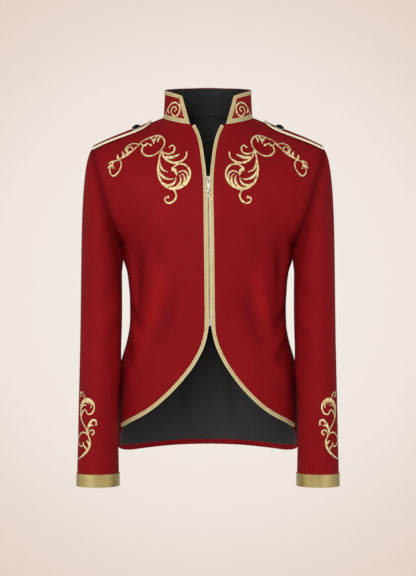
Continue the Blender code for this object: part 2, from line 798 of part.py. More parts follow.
def make_binding(name, front):
    """The gold strip folded round the bound edge, from the neck to the side seam."""
    last = front.points.shape[0] - 1
    points, out = front.points, front.out
    stations = [((r, 0), (r, 1), (r, 1), 0.0) for r in range(V_TOP_ROW, last - 1)]
    stations.append(((last - 1, 0), (last - 2, 1), (last - 1, 1), 1 / 3))
    stations.append(((last, 0), (last - 2, 1), (last - 1, 1), 2 / 3))
    stations += [((last, c), (last - 1, c), (last - 1, c), 0.0) for c in range(1, BOUND_PLACES)]
    edge = np.array([points[e] for e, _, _, _ in stations])
    edge_out = np.array([out[e] for e, _, _, _ in stations])
    inner = np.array([points[a] * (1 - t) + points[b] * t for _, a, b, t in stations])
    inner_out = unit(np.array([out[a] * (1 - t) + out[b] * t for _, a, b, t in stations]))
    along = unit(np.gradient(edge, axis=0))
    away = edge - inner
    away = unit(away - along * np.sum(away * along, axis=1, keepdims=True))
    near, far = SEAM_GAP, SEAM_GAP + BINDING
    sections = np.stack(
        [
            inner + inner_out * near,
            inner + inner_out * far,
            edge + away * far + edge_out * far,
            edge + away * far - edge_out * (CLOTH + far),
            inner - inner_out * (CLOTH + far),
            inner - inner_out * (CLOTH + near),
            edge + away * near - edge_out * (CLOTH + near),
            edge + away * near + edge_out * near,
        ],
        axis=1,
    )
    return swept(name, sections, GOLD_BRAID)


def down_the_front(front, place, heights):
    """Points and outward directions down one column of a front, at the given heights."""
    rows = np.s_[V_TOP_ROW:, place]
    order = np.argsort(front.points[rows][:, 2])
    level = front.points[rows][order, 2]
    points = [np.interp(heights, level, front.points[rows][order, k]) for k in range(3)]
    out = [np.interp(heights, level, front.out[rows][order, k]) for k in range(3)]
    return np.stack(points, axis=1), unit(np.stack(out, axis=1))


def make_tape(name, front):
    """The cloth tape of the zip, behind a front's bound edge."""
    heights = np.linspace(TAPE_TOP, ZIP_END, TAPE_POINTS)
    depth = CLOTH + 2 * SEAM_GAP + BINDING
    edge, edge_out = down_the_front(front, 0, heights)
    line = [down_the_front(front, place, heights) for place in (1, 2)]
    away = unit(edge - line[0][0])
    grid = np.stack([edge + away * TAPE_EDGE, line[0][0], line[1][0]], axis=1)
    out = np.stack([edge_out, line[0][1], line[1][1]], axis=1)
    layers = [(grid - out * depth, grid - out * (depth + TAPE), grid, False)]
    solid(name, layers, ZIP_BEIGE)


def zip_middle(left, right, heights):
    """The middle line of the closed zip, level with the outer face of the fronts."""
    sides = [down_the_front(front, 0, heights)[0] for front in (left[0], right[0])]
    return (sides[0] + sides[1]) / 2


def bar(name, middle, half_width, near, far, finish):
    """A square bar down the zip, between two depths."""
    along = unit(np.gradient(middle, axis=0))
    out = unit(np.cross(along, (1.0, 0, 0)))
    out *= np.sign(-out[:, 1:2])
    across = np.array([half_width, 0, 0])
    sections = np.stack(
        [
            middle - out * near - across,
            middle - out * near + across,
            middle - out * far + across,
            middle - out * far - across,
        ],
        axis=1,
    )
    return swept(name, sections, finish)


def make_zip(left, right):
    """Tapes, chain, bottom stop, slider and pull tab."""
    make_tape("zip_tape_left", left[0])
    make_tape("zip_tape_right", right[0])
    depth = CLOTH + 2 * SEAM_GAP + BINDING + TAPE / 2
    near, far = depth - CHAIN_THICKNESS / 2, depth + CHAIN_THICKNESS / 2
    chain = zip_middle(left, right, np.linspace(CHAIN_TOP, STOP_TOP + SEAM_GAP, CHAIN_POINTS))
    bar("zip_chain", chain, CHAIN_HALF_WIDTH, near, far, ZIP_METAL)
    stop = zip_middle(left, right, np.linspace(STOP_TOP, ZIP_END, 2))
    proud, deep = STOP_PROUD
    bar("zip_stop", stop, CHAIN_HALF_WIDTH, near - proud, far + deep, ZIP_METAL)

    middle, above, below = zip_middle(
        left, right, SLIDER_Z + np.array([0.0, SLIDER_REACH, -SLIDER_REACH])
    )
    down = unit(below - above)
    across = np.array([1.0, 0.0, 0.0])
    out = unit(np.cross(down, across))
    out *= np.sign(-out[1])

    def place(wide, drop, proud):
        return middle + across * wide + down * drop + out * proud

    plate_foot = 2 * SEAM_GAP + BINDING
    plate_top = plate_foot + SLIDER_PLATE
    outline = [(w, d) for w, d in SLIDER_OUTLINE]
    outline += [(-w, d) for w, d in reversed(SLIDER_OUTLINE)]
    wide, high = SLIDER_POST
    post = [(math.copysign(min(abs(w), wide), w), max(-high, min(high, d))) for w, d in outline]
    slider = swept(
        "zip_slider",
        [
            [place(w, d, -far) for w, d in post],
            [place(w, d, plate_foot) for w, d in post],
            [place(w, d, plate_foot) for w, d in outline],
            [place(w, d, plate_top) for w, d in outline],
        ],
        ZIP_METAL,
    )
    # The arch that carries the pull tab stands over the plate, and is joined to it
    proud = plate_top + ARCH_HEIGHT / 2
    clear, reach = ARCH_LENGTH / 2, ARCH_HEIGHT / 2
    root = reach + ARCH_ROOT
    arch = [
        (PIVOT_DROP - clear - ARCH_WALL, proud - root),
        (PIVOT_DROP - clear - ARCH_WALL, proud + reach),
        (PIVOT_DROP - clear, proud + reach + ARCH_WALL),
        (PIVOT_DROP + clear, proud + reach + ARCH_WALL),
        (PIVOT_DROP + clear + ARCH_WALL, proud + reach),
        (PIVOT_DROP + clear + ARCH_WALL, proud - root),
        (PIVOT_DROP + clear, proud - root),
        (PIVOT_DROP + clear, proud + reach),
        (PIVOT_DROP - clear, proud + reach),
        (PIVOT_DROP - clear, proud - root),
    ]
    half_arch = ARCH_WIDTH / 2
    cutter = swept(
        "arch_shape",
        [[place(w, d, n) for d, n in arch] for w in (-half_arch, half_arch)],
        ZIP_METAL,
    )
    combine(slider, cutter, "UNION")
    pivot = place(0, PIVOT_DROP, proud)
    make_tab(pivot, unit(down - out * TAB_LEAN), across)


def combine(body, tool, operation):
    """Joins or cuts a body with another mesh, which is then only a guide."""
    tool.hide_render = True
    tool.display_type = "WIRE"
    change = body.modifiers.new(tool.name, "BOOLEAN")
    change.operation = operation
    change.solver = "EXACT"
    change.object = tool


def make_tab(pivot, along, across):
    """The zip's pull tab, with its origin on its axis."""
    out = unit(np.cross(along, across))
    out *= np.sign(-out[1])
    half_thick = TAB_THICKNESS / 2

    def plate(name, outline, reach):
        sides = [
            [across * w + along * d + out * n for w, d in outline] for n in (-reach, reach)
        ]
        made = swept(name, sides, ZIP_METAL)
        made.location = Vector(pivot)
        return made

    def mirrored(half_outline):
        return list(half_outline) + [(-w, d) for w, d in reversed(half_outline)]

    tab = plate("zip_pull", mirrored(TAB_OUTLINE), half_thick)
    for name, (wide, start, end) in (("tab_slot", TAB_SLOT), ("tab_hole", TAB_HOLE)):
        cut = [(wide, start), (wide, end)]
        combine(tab, plate(name, mirrored(cut), 2 * TAB_THICKNESS), "DIFFERENCE")


def shoulder_surface(half_panels, side):
    """A function that finds the point of one shoulder's outer face at x and y."""
    vertices, faces = [], []
    for panel in half_panels[:2]:
        rows, columns = panel.points.shape[:2]
        start = len(vertices)
        vertices += [Vector(p) for p in panel.points.reshape(-1, 3)]
        for r in range(len(ARMHOLE) - 1):
            for c in range(columns - 1):
                a = start + r * columns + c
                faces.append((a, a + columns, a + columns + 1, a + 1))
    tree = BVHTree.FromPolygons(vertices, faces)

    def surface(x, y):
        above = Vector((side * x, y, COLLAR_TOP_WIDTH))
        return np.array(tree.ray_cast(above, Vector((0, 0, -1)))[0])

    return surface


def make_strap(name, surface, seam, side):
    """A shoulder strap with its piping and its button, lying along the shoulder seam."""

    def middle_y(x):
        return float(np.interp(x, np.abs(seam[:, 0]), seam[:, 1])) + SEAM_GAP

    grid = np.array(
        [
            [surface(x, middle_y(x) + share * half_width) for share in STRAP_SHARES]
            for x, half_width in STRAP_OUTLINE
        ]
    )
    out = side * grid_normals(grid, False)
    out *= np.sign(out[..., 2:3])
    under, top = STRAP_LIFT, STRAP_LIFT + STRAP_THICKNESS
    solid(f"epaulette_{name}", [(grid + out * top, grid + out * under, grid, False)], RED_CLOTH)

    # The piping runs round the strap's three free sides
    path = [grid[r, 0] for r in range(len(grid))] + [grid[-1, 3]]
    path += [grid[r, -1] for r in range(len(grid) - 1, -1, -1)]
    path_out = [out[r, 0] for r in range(len(grid))] + [out[-1, 3]]
    path_out += [out[r, -1] for r in range(len(grid) - 1, -1, -1)]
    path, path_out = np.array(path), unit(np.array(path_out))
    along = unit(np.gradient(path, axis=0))
    away = unit(np.cross(along, path_out))
    middle = grid.reshape(-1, 3).mean(axis=0)
    away *= np.sign(np.sum(away * (path - middle), axis=1, keepdims=True))
    turn = 2 * math.pi * (np.arange(PIPING_SIDES) + 0.5) / PIPING_SIDES
    centre = path + away * (PIPING + SEAM_GAP) + path_out * (under + PIPING)
    sections = [
        [c + PIPING * (math.cos(a) * w + math.sin(a) * n) for a in turn]
        for c, w, n in zip(centre, away, path_out)
    ]
    swept(f"epaulette_piping_{name}", sections, GOLD_BRAID, ROUND_ANGLE)

    # The button sits square to the strap
    button_y = middle_y(BUTTON_X) - BUTTON_FORE
    base = surface(BUTTON_X, button_y)
    across = surface(BUTTON_X + BUTTON_REACH, button_y) - surface(BUTTON_X - BUTTON_REACH, button_y)
    across = unit(across)
    aft = surface(BUTTON_X, button_y + BUTTON_REACH) - surface(BUTTON_X, button_y - BUTTON_REACH)
    up = unit(np.cross(across, aft))
    up *= np.sign(up[2])
    aft = np.cross(up, across)
    foot = base + up * (top + SEAM_GAP)
    vertices = [foot + up * BUTTON_PROFILE[0][1]]
    for radius, height in BUTTON_PROFILE[1:-1]:
        for k in range(BUTTON_SIDES):
            a = 2 * math.pi * k / BUTTON_SIDES
            ray = math.cos(a) * across + math.sin(a) * aft
            vertices.append(foot + up * height + ray * radius)
    vertices.append(foot + up * BUTTON_PROFILE[-1][1])
    rings = len(BUTTON_PROFILE) - 2
    faces = []
    for k in range(BUTTON_SIDES):
        m = (k + 1) % BUTTON_SIDES
        faces.append((0, 1 + k, 1 + m))
        for r in range(rings - 1):
            a, b = 1 + r * BUTTON_SIDES, 1 + (r + 1) * BUTTON_SIDES
            faces.append((a + k, b + k, b + m, a + m))
        a = 1 + (rings - 1) * BUTTON_SIDES
        faces.append((a + k, len(vertices) - 1, a + m))
    face_outwards(add_object(f"epaulette_button_{name}", vertices, faces, BUTTON_BLACK))


def build():
    """Builds the whole jacket in an empty scene."""
    for thing in list(bpy.data.objects):
        bpy.data.objects.remove(thing)
    left, right = half(1), half(-1)
    for panels, name, side in ((left, "left", 1), (right, "right", -1)):
        make_strap(name, shoulder_surface(panels, side), panels[0].points[0], side)
        join_half(*panels)
    make_collar(left, right)
    for front, back, _ in (left, right):
        lift_neck(front, list(range(V_TOP_ROW + 1)))
        lift_neck(back, list(range(BACK_NECK_ROW + 1)))
    make_shells(left, right)
    make_binding("front_binding_left", left[0])
    make_binding("front_binding_right", right[0])
    make_zip(left, right)


build()
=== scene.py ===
"""The renaissance jacket, dressed: red cloth, black lining, gold trim, embroidery, zip and straps.

Metres, +Z up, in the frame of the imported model. The front faces -Y, the wearer's left side is +X,
and the origin lies in the middle of the neck.
"""

import math

import bpy
import numpy as np
from mathutils import Matrix, Vector
from mathutils.bvhtree import BVHTree


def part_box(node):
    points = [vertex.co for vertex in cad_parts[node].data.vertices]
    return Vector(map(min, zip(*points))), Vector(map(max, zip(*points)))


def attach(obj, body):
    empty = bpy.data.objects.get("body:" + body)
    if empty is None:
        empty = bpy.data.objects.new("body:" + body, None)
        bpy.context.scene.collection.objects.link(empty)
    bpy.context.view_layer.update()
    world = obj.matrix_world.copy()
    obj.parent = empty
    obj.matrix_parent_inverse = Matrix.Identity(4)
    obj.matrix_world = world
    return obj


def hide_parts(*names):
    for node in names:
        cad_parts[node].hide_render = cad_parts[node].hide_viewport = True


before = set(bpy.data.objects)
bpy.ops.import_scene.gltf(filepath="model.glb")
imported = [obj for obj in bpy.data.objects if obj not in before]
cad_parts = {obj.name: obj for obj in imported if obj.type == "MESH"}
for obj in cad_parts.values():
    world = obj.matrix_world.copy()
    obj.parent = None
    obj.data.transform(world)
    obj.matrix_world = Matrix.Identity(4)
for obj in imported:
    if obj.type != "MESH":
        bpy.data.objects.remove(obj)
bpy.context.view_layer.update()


# The camera
# It stands level with the middle of the jacket, straight ahead of it, and far enough away for the
# flat perspective of the photograph.

VIEW_DISTANCE = 2.400
VIEW_HEIGHT = -0.321
VIEW_LENS = 79.8

bpy.ops.object.camera_add(location=(0, -VIEW_DISTANCE, VIEW_HEIGHT), rotation=(math.pi / 2, 0, 0))
camera = bpy.context.object
camera.data.lens = VIEW_LENS
bpy.context.scene.camera = camera
bpy.context.scene.view_settings.view_transform = "Standard"


# The fronts
# Two panels of dull deep red cloth, cut away below the zip. Each is bagged out with its black
# lining, and sewn to the back at the shoulder and the side, and to the sleeve at the armhole.

SIDES = {"left": 1, "right": -1}  # the wearer's, with the sign of x there
SHARP = math.radians(50)  # an edge that turns more than this stays crisp
SAME_POINT = 0.00002
NOTCH = 0.00012  # half the widest gap between the two halves of a panel's neckline
ROUNDING = 2
MM = 0.001


def place_mesh(name, mesh):
    """A new piece in the scene, left active, and with nothing else selected."""
    piece = bpy.data.objects.new(name, mesh)
    bpy.context.scene.collection.objects.link(piece)
    bpy.ops.object.select_all(action="DESELECT")
    piece.select_set(True)
    bpy.context.view_layer.objects.active = piece
    return piece


def open_mesh(action="SELECT"):
    """Opens the active piece's mesh for editing, with all of it selected or none."""
    bpy.ops.object.mode_set(mode="EDIT")
    bpy.ops.mesh.select_all(action=action)


def close_mesh():
    """Ends the editing of the active piece's mesh."""
    bpy.ops.object.mode_set(mode="OBJECT")


def close_notch(piece):
    """Takes the walls of a hairline notch out of a panel's middle, and joins its two sides."""
    open_mesh("DESELECT")
    close_mesh()
    points = piece.data.vertices
    for face in piece.data.polygons:
        face.select = max(abs(points[v].co.x) for v in face.vertices) < NOTCH
    bpy.ops.object.mode_set(mode="EDIT")
    bpy.ops.mesh.delete(type="ONLY_FACE")
    close_mesh()
    for point in points:
        if abs(point.co.x) < NOTCH:
            point.co.x = 0


def shell(name, node, rounding=ROUNDING):
    """A sheet on the form of a panel's solid: its cells rounded, its cut edges kept crisp."""
    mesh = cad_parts[node].data.copy()
    mesh.materials.clear()
    piece = place_mesh(name, mesh)
    close_notch(piece)
    open_mesh()
    bpy.ops.mesh.customdata_custom_splitnormals_clear()
    bpy.ops.mesh.remove_doubles(threshold=SAME_POINT)
    bpy.ops.mesh.tris_convert_to_quads(face_threshold=SHARP, shape_threshold=math.pi)
    bpy.ops.mesh.select_all(action="DESELECT")
    bpy.ops.mesh.select_mode(type="EDGE")
    bpy.ops.mesh.edges_select_sharp(sharpness=SHARP)
    bpy.ops.transform.edge_crease(value=1)
    bpy.ops.mesh.select_mode(type="VERT")
    close_mesh()
    smooth = piece.modifiers.new("rounding", "SUBSURF")
    smooth.levels = smooth.render_levels = rounding
    bpy.ops.object.modifier_apply(modifier=smooth.name)
    bpy.ops.object.shade_smooth_by_angle(angle=SHARP)
    return piece


def points_of(piece):
    """A mesh's points as an array."""
    points = np.empty(len(piece.data.vertices) * 3, np.float32)
    piece.data.vertices.foreach_get("co", points)
    return points.reshape(-1, 3).astype(float)


def move_points(piece, points):
    """Puts a mesh's points in new places."""
    piece.data.vertices.foreach_set("co", points.astype(np.float32).ravel())
    piece.data.update()


def unit(vectors):
    """Vectors of length 1, along the last axis."""
    return vectors / np.linalg.norm(vectors, axis=-1, keepdims=True)


def smoothly(share):
    """0 to 1 with soft ends."""
    share = np.clip(share, 0, 1)
    return share * share * (3 - 2 * share)


TORSO_HALF_WIDTH = 0.150
TORSO_HALF_DEPTH = 0.108
TORSO_RADIUS = 0.128
NECK_RADIUS = 0.078
SHOULDER_LINE = -0.150  # above it, the way out of the torso tips upwards
ARMHOLE_SEAM = (
    # distance from the middle plane, z
    (0.2180, -0.056), (0.2100, -0.088), (0.1955, -0.137), (0.1805, -0.189), (0.1655, -0.230),
    (0.1605, -0.243),
)
# Creases begin at the first distance from a seam or the zip, and are whole beyond the second.
SEAM_CALM = (0.000, 0.006)
ZIP_CALM = (0.012, 0.045)
CREASE_FADE = 1.5  # how softly a crease dies out towards its ends
# The cloth beside an armhole is given painted shade, as dark as in a trough of this depth and reach.
SEAM_SHADE = (0.0085, 0.0075)
NO_LENGTH = 1e-12
INWARDS = -0.5  # a face looks inwards where its direction agrees with the way out by less than this


def round_torso(points):
    """The distance round the torso from the front middle, and the way out, at each point."""
    x = points[:, 0] / TORSO_HALF_WIDTH
    y = points[:, 1] / TORSO_HALF_DEPTH
    up = np.maximum(points[:, 2] - SHOULDER_LINE, 0) / TORSO_HALF_WIDTH
    out = np.stack([x / TORSO_HALF_WIDTH, y / TORSO_HALF_DEPTH, up / TORSO_HALF_WIDTH], axis=1)
    return np.arctan2(x, -y) * TORSO_RADIUS, unit(out)


def round_neck(points):
    """The distance round the collar from the front, and the way out."""
    out = points * (1.0, 1.0, 0.0)
    return np.arctan2(points[:, 0], -points[:, 1]) * NECK_RADIUS, unit(out)


def from_line(places, start, end):
    """How far each place lies from the straight line between two others."""
    run = end - start
    share = np.clip((places - start) @ run / max(run @ run, NO_LENGTH), 0, 1)
    return np.linalg.norm(places - start - share[:, None] * run, axis=1)


def from_armhole(points):
    """How far each point lies from the armhole seam, seen from the front."""
    seam = np.array(ARMHOLE_SEAM)
    places = np.stack([np.abs(points[:, 0]), points[:, 2]], axis=1)
    return np.min([from_line(places, start, end) for start, end in zip(seam, seam[1:])], axis=0)


def calm(distances, limits):
    """0 beside a seam, 1 well away from it."""
    return smoothly((distances - limits[0]) / (limits[1] - limits[0]))


def calm_torso(points):
    """Creases die out at the armholes and the zip."""
    zip_side = np.where(points[:, 1] < 0, np.abs(points[:, 0]), 1)
    return calm(from_armhole(points), SEAM_CALM) * calm(zip_side, ZIP_CALM)


def lay_map(piece, name, across, along):
    """A map with a value across and a value along at each of a mesh's points."""
    spots = np.empty(len(piece.data.loops), np.int32)
    piece.data.loops.foreach_get("vertex_index", spots)
    laid = piece.data.uv_layers.new(name=name)
    laid.data.foreach_set("uv", np.stack([across, along], axis=1)[spots].astype(np.float32).ravel())


def crease(piece, creases, ways, quiet):
    """Presses soft troughs into a sheet, and raises soft ridges where the depth is negative.

    Each runs between two places, given by their distance round and their height, and bows sideways.
    The depths are kept as a map, in metres, with painted shade beside the armholes added; from it the
    cloth is painted darker in troughs and lighter on ridges.
    """
    points = points_of(piece)
    around, out = ways(points)
    here = np.stack([around, points[:, 2]], axis=1)
    sink = np.zeros(len(points))
    for *ends, bow, half_width, depth in np.array(creases) * MM:
        start, end = np.reshape(ends, (2, 2))
        run = end - start
        length = np.linalg.norm(run)
        run /= length
        share = np.clip((here - start) @ run / length, 0, 1)
        aside = (here - start) @ np.array([-run[1], run[0]])
        aside -= bow * np.sin(math.pi * share)
        fade = np.sin(math.pi * share) ** CREASE_FADE
        sink += depth * fade * np.exp(-((aside / half_width) ** 2))
    sink *= quiet(points)
    move_points(piece, points - out * sink[:, None])
    # painted shade beside the armhole, kept in the same map as the depths
    deep, reach = SEAM_SHADE
    beside = deep * np.exp(-((from_armhole(points) / reach) ** 2))
    lay_map(piece, "fold", sink + beside, points[:, 2])


def lay_weave(piece, ways, lengthwise=2):
    """A map of the cloth's threads, in metres round and along the piece."""
    points = points_of(piece)
    around, _ = ways(points)
    wrap = around.max() - around.min()
    weave = piece.data.uv_layers.new(name="weave")
    for face in piece.data.polygons:
        corners = [around[v] for v in face.vertices]
        crosses = max(corners) - min(corners) > wrap / 2
        for corner, spot in zip(face.loop_indices, face.vertices):
            along = around[spot]
            if crosses and along < 0:
                along += wrap
            weave.data[corner].uv = (along, points[spot, lengthwise])


def line_inside(piece, *ways):
    """Gives the faces that look inwards, by any of the ways out, the piece's second material."""
    for way in ways:
        _, out = way(points_of(piece))
        for face in piece.data.polygons:
            if face.normal.dot(Vector(out[face.vertices[0]])) < INWARDS:
                face.material_index = 1


class Value:
    """A value among shader nodes. Sums with it add Math nodes."""

    def __init__(self, graph, socket):
        self.graph = graph
        self.socket = socket

    def maths(self, operation, *values):
        """Any Math node's result."""
        return self.graph.node("ShaderNodeMath", {"operation": operation}, dict(enumerate(values)))

    def __add__(self, other):
        return self.maths("ADD", self, other)

    __radd__ = __add__

    def __sub__(self, other):
        return self.maths("SUBTRACT", self, other)

    def __rsub__(self, other):
        return self.maths("SUBTRACT", other, self)

    def __mul__(self, other):
        return self.maths("MULTIPLY", self, other)

    __rmul__ = __mul__

    def __truediv__(self, other):
        return self.maths("DIVIDE", self, other)

    def __pow__(self, other):
        return self.maths("POWER", self, other)

    def __abs__(self):
        return self.maths("ABSOLUTE", self)

    def sine(self):
        return self.maths("SINE", self)


class Graph:
    """Shader nodes, while they are put together."""

    def __init__(self, tree):
        self.tree = tree

    def node(self, kind, settings, inputs, output=0):
        """Adds a node: first its settings, then its sockets' values or links. Gives an output."""
        made = self.tree.nodes.new(kind)
        for name, value in settings.items():
            setattr(made, name, value)
        for name, value in inputs.items():
            self.join(made.inputs[name], value)
        return Value(self, made.outputs[output]) if made.outputs else None

    def join(self, socket, value):
        """Sets a socket, or links it."""
        if isinstance(value, Value):
            self.tree.links.new(value.socket, socket)
        else:
            socket.default_value = value

    def part(self, vector, letter):
        """One of a vector's three parts: X, Y or Z."""
        return self.node("ShaderNodeSeparateXYZ", {}, {"Vector": vector}, letter)

    def mix(self, share, first, second):
        """A colour between two others, each a colour or a value."""
        ends = [end if isinstance(end, Value) else (*end, 1) for end in (first, second)]
        inputs = {0: share, 6: ends[0], 7: ends[1]}
        return self.node("ShaderNodeMix", {"data_type": "RGBA"}, inputs, 2)


class Finish(Graph):
    """A material, while its nodes are put together."""

    def __init__(self, name, constants):
        self.material = bpy.data.materials.new(name)
        self.material.use_nodes = True
        super().__init__(self.material.node_tree)
        self.shader = self.tree.nodes["Principled BSDF"]
        for socket, value in constants.items():
            self.shader.inputs[socket].default_value = value

    def place(self):
        """Where a point lies in the jacket's own frame."""
        return self.node("ShaderNodeTexCoord", {}, {}, "Object")

    def threads(self, name="weave"):
        """One of the piece's own maps, by default that of its threads."""
        return self.node("ShaderNodeUVMap", {"uv_map": name}, {}, "UV")

    def stretch(self, where, scales):
        """The same places, drawn apart by a scale along each axis."""
        return self.node("ShaderNodeMapping", {}, {"Vector": where, "Scale": scales})

    def noise(self, where, scale, detail=2.0):
        """Uneven patches, as many to a metre as the scale says."""
        return self.node("ShaderNodeTexNoise", {}, {"Vector": where, "Scale": scale, "Detail": detail})

    def wave(self, where, spacing, direction="X", bend=0.0):
        """Soft ribs at a spacing in metres."""
        settings = {"wave_type": "BANDS", "bands_direction": direction}
        inputs = {"Vector": where, "Scale": WAVE_PERIOD / spacing, "Distortion": bend}
        return self.node("ShaderNodeTexWave", settings, inputs, "Fac")

    def set(self, socket, value):
        """Sets or links one of the shader's sockets."""
        self.join(self.shader.inputs[socket], value)

    def colour(self, share, first, second):
        """Colours the piece between two colours, and keeps the result for a colour over it."""
        self.base = self.mix(share, first, second)
        self.set("Base Color", self.base)

    def relief(self, height, distance, strength=1.0):
        """Fine relief from a height of 0 to 1."""
        inputs = {"Height": height, "Distance": distance, "Strength": strength}
        self.set("Normal", self.node("ShaderNodeBump", {}, inputs))


WAVE_PERIOD = 0.314  # the spacing of a Wave texture's bands at a scale of 1
TWILL = 0.0007  # from rib to rib
RED_DEEP, RED_BRIGHT = (0.120, 0.0014, 0.0036), (0.288, 0.0056, 0.0096)
FOLD_SHADE = 60.0  # how much painted shade darkens the cloth for each metre of a crease's depth, and lightens it on a ridge


def red_cloth():
    """Wool-like twill in deep red: a soft nap, broad uneven tone, and ribs that run slantwise; painted
    shade in crease troughs and beside armholes, painted light on ridges.
    """
    sheen = {"Sheen Weight": 0.05, "Sheen Roughness": 0.40, "Sheen Tint": (1.0, 0.06, 0.08, 1)}
    finish = Finish("red_cloth", {"Specular IOR Level": 0.08, **sheen})
    where, threads = finish.place(), finish.threads()
    ribs = finish.wave(threads, TWILL, "DIAGONAL", 0.6)
    nap = finish.noise(where, 900.0, 3.0)
    clouds = finish.noise(where, 9.0, 3.0)
    slubs = finish.noise(where, 160.0)
    fold = finish.part(finish.threads("fold"), "X")
    shade = clouds * 0.50 + ribs * 0.10 + nap * 0.15 + slubs * 0.11 + 0.225
    # painted shade in the troughs and beside the armholes, painted light on the ridges
    finish.colour(shade - fold * FOLD_SHADE, RED_DEEP, RED_BRIGHT)
    finish.set("Roughness", 0.66 + nap * 0.2)
    finish.relief(ribs * 0.5 + nap * 0.5, 0.00022, 0.6)
    return finish.material


LINING_RIB = 0.0005
DEEPEST_SHADE_HEIGHT = -0.300  # painted shade on the lining is deepest at this height, inside the jacket, and eases towards the neck and the hem
SHADE_EASING = 3.0  # how much paler the painted shade leaves the lining for each metre away from there


def black_cloth(name, gloss, deep, pale):
    """Smooth black lining cloth, with a faint sheen along its threads, and painted shade that is
    deepest at one height and eases above and below it.
    """
    finish = Finish(name, {"Specular IOR Level": gloss, "Sheen Weight": gloss / 5})
    where, threads = finish.place(), finish.threads()
    ribs = finish.wave(threads, LINING_RIB, "X", 0.3)
    clouds = finish.noise(where, 14.0)
    # painted shade, deepest inside the jacket and easing towards the neck and the hem
    eased_shade = abs(finish.part(where, "Z") - DEEPEST_SHADE_HEIGHT) * SHADE_EASING
    shade = clouds * 0.5 + ribs * 0.2 + eased_shade - 0.25
    finish.colour(shade, deep, pale)
    finish.set("Roughness", 0.48 + clouds * 0.16)
    finish.relief(ribs, 0.00008, 0.4)
    return finish


RED = red_cloth()
BLACK = black_cloth("black_lining", 0.36, (0.0012,) * 3, (0.0175, 0.0172, 0.0172)).material


def dress(piece, node, slot, *materials):
    """Puts a finished piece in the place of its solid."""
    for material in materials:
        piece.data.materials.append(material)
    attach(piece, "jacket")
    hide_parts(node)


TORSO_CREASES = (
    # round and z of one end, round and z of the other, bow, half width, depth; in millimetres
    (172, -215, 186, -345, 10, 12, 4.2),
    (150, -235, 160, -385, -8, 11.5, -3.2),
    (205, -330, 95, -398, 12, 10, 5),
    (200, -365, 80, -448, 10, 10.5, -4),
    (190, -395, 105, -480, -8, 10, 4.4),
    (104, -215, 150, -375, 8, 15, 8),
    (74, -255, 128, -430, -8, 15, -6.6),
    (56, -290, 112, -450, -10, 13, 5.2),
    (66, -205, 72, -300, 3, 10, 2.4),
    (155, -450, 175, -560, 4, 12, 3.4),
    (98, -430, 148, -500, -6, 12, -3.4),
    (45, -150, 100, -215, 4, 14, -1.8),
    (-168, -205, -188, -340, -8, 12.5, 4.6),
    (-146, -240, -158, -375, 6, 11, -3.4),
    (-205, -320, -100, -405, -10, 10, 5),
    (-198, -352, -70, -436, -12, 10.5, -4.2),
    (-188, -405, -110, -500, 6, 10, 4.4),
    (-98, -220, -146, -390, -8, 15.5, 8.4),
    (-70, -250, -124, -425, 9, 15, -7),
    (-50, -300, -108, -440, 10, 13.5, 5.6),
    (-70, -215, -76, -295, -2, 10, 2.8),
    (-112, -410, -150, -495, 6, 12, -3.6),
    (-160, -440, -170, -570, -4, 12, 3.2),
    (-48, -160, -95, -225, -4, 13, -1.6),
    (202, -205, 204, -292, 0, 20, -5.2),
    (-202, -205, -204, -292, 0, 20, -5.2),
    (196, -425, 200, -520, 0, 26, -2.6),
    (-196, -425, -200, -520, 0, 26, -2.6),
    (225, -225, 232, -370, -8, 12, 5.4),
    (-228, -230, -230, -360, 8, 11.5, 5),
    (250, -260, 300, -345, 10, 11, -5.6),
    (-246, -250, -310, -350, -12, 11.5, -6),
    (235, -330, 340, -372, 6, 10.5, 7.2),
    (-232, -338, -345, -380, -5, 10.5, 7.8),
    (300, -120, 330, -260, 6, 16, 4.6),
    (-295, -130, -335, -270, -6, 16, 4.2),
    (290, -420, 275, -600, 4, 18, -5.8),
    (-285, -430, -270, -605, -4, 18, -6.2),
    (345, -410, 350, -600, 3, 17, 5.8),
    (-340, -420, -355, -610, 3, 17, 5.2),
)


def torso_shell(name, node):
    """One layer of the torso. Every layer takes the same creases, so none comes through another."""
    piece = shell(name, node)
    crease(piece, TORSO_CREASES, round_torso, calm_torso)
    lay_weave(piece, round_torso)
    return piece


fronts = {}
for side in SIDES:
    front = torso_shell(f"cloth_front_{side}", f"front_{side}")
    line_inside(front, round_torso, round_neck)
    dress(front, f"front_{side}", "red_cloth", RED, BLACK)
    fronts[side] = front


# The back
# One panel of the same red cloth, longer than the fronts. Inside it lies its own black lining,
# felled to the red turned-up hem.

back = torso_shell("cloth_back", "back")
line_inside(back, round_neck)
dress(back, "back", "red_cloth", RED, BLACK)

back_lining = torso_shell("lining_back", "back_lining")
dress(back_lining, "back_lining", "lining", BLACK)

back_hem = torso_shell("hem_back", "back_hem")
dress(back_hem, "back_hem", "red_cloth", RED)


# The sleeves
# Each is a tube of the red cloth, cut with a high head, eased into the armhole and lined in black.
# The cloth breaks into a few soft folds at the bend of the arm.

SLEEVE_MIDDLE = (
    # z, distance from the middle plane, y
    (-0.683, 0.2018, -0.058),
    (-0.570, 0.2025, -0.047),
    (-0.480, 0.2005, -0.033),
    (-0.390, 0.1992, -0.015),
    (-0.300, 0.1996, -0.004),
    (-0.140, 0.2000, 0.004),
)
SLEEVE_HALF_WIDTH = 0.0385
SLEEVE_HALF_DEPTH = 0.0570
SLEEVE_RADIUS = 0.0480
CUFF_TOP = -0.660
CUFF_END = -0.683
CUFF_CALM = (0.006, 0.050)

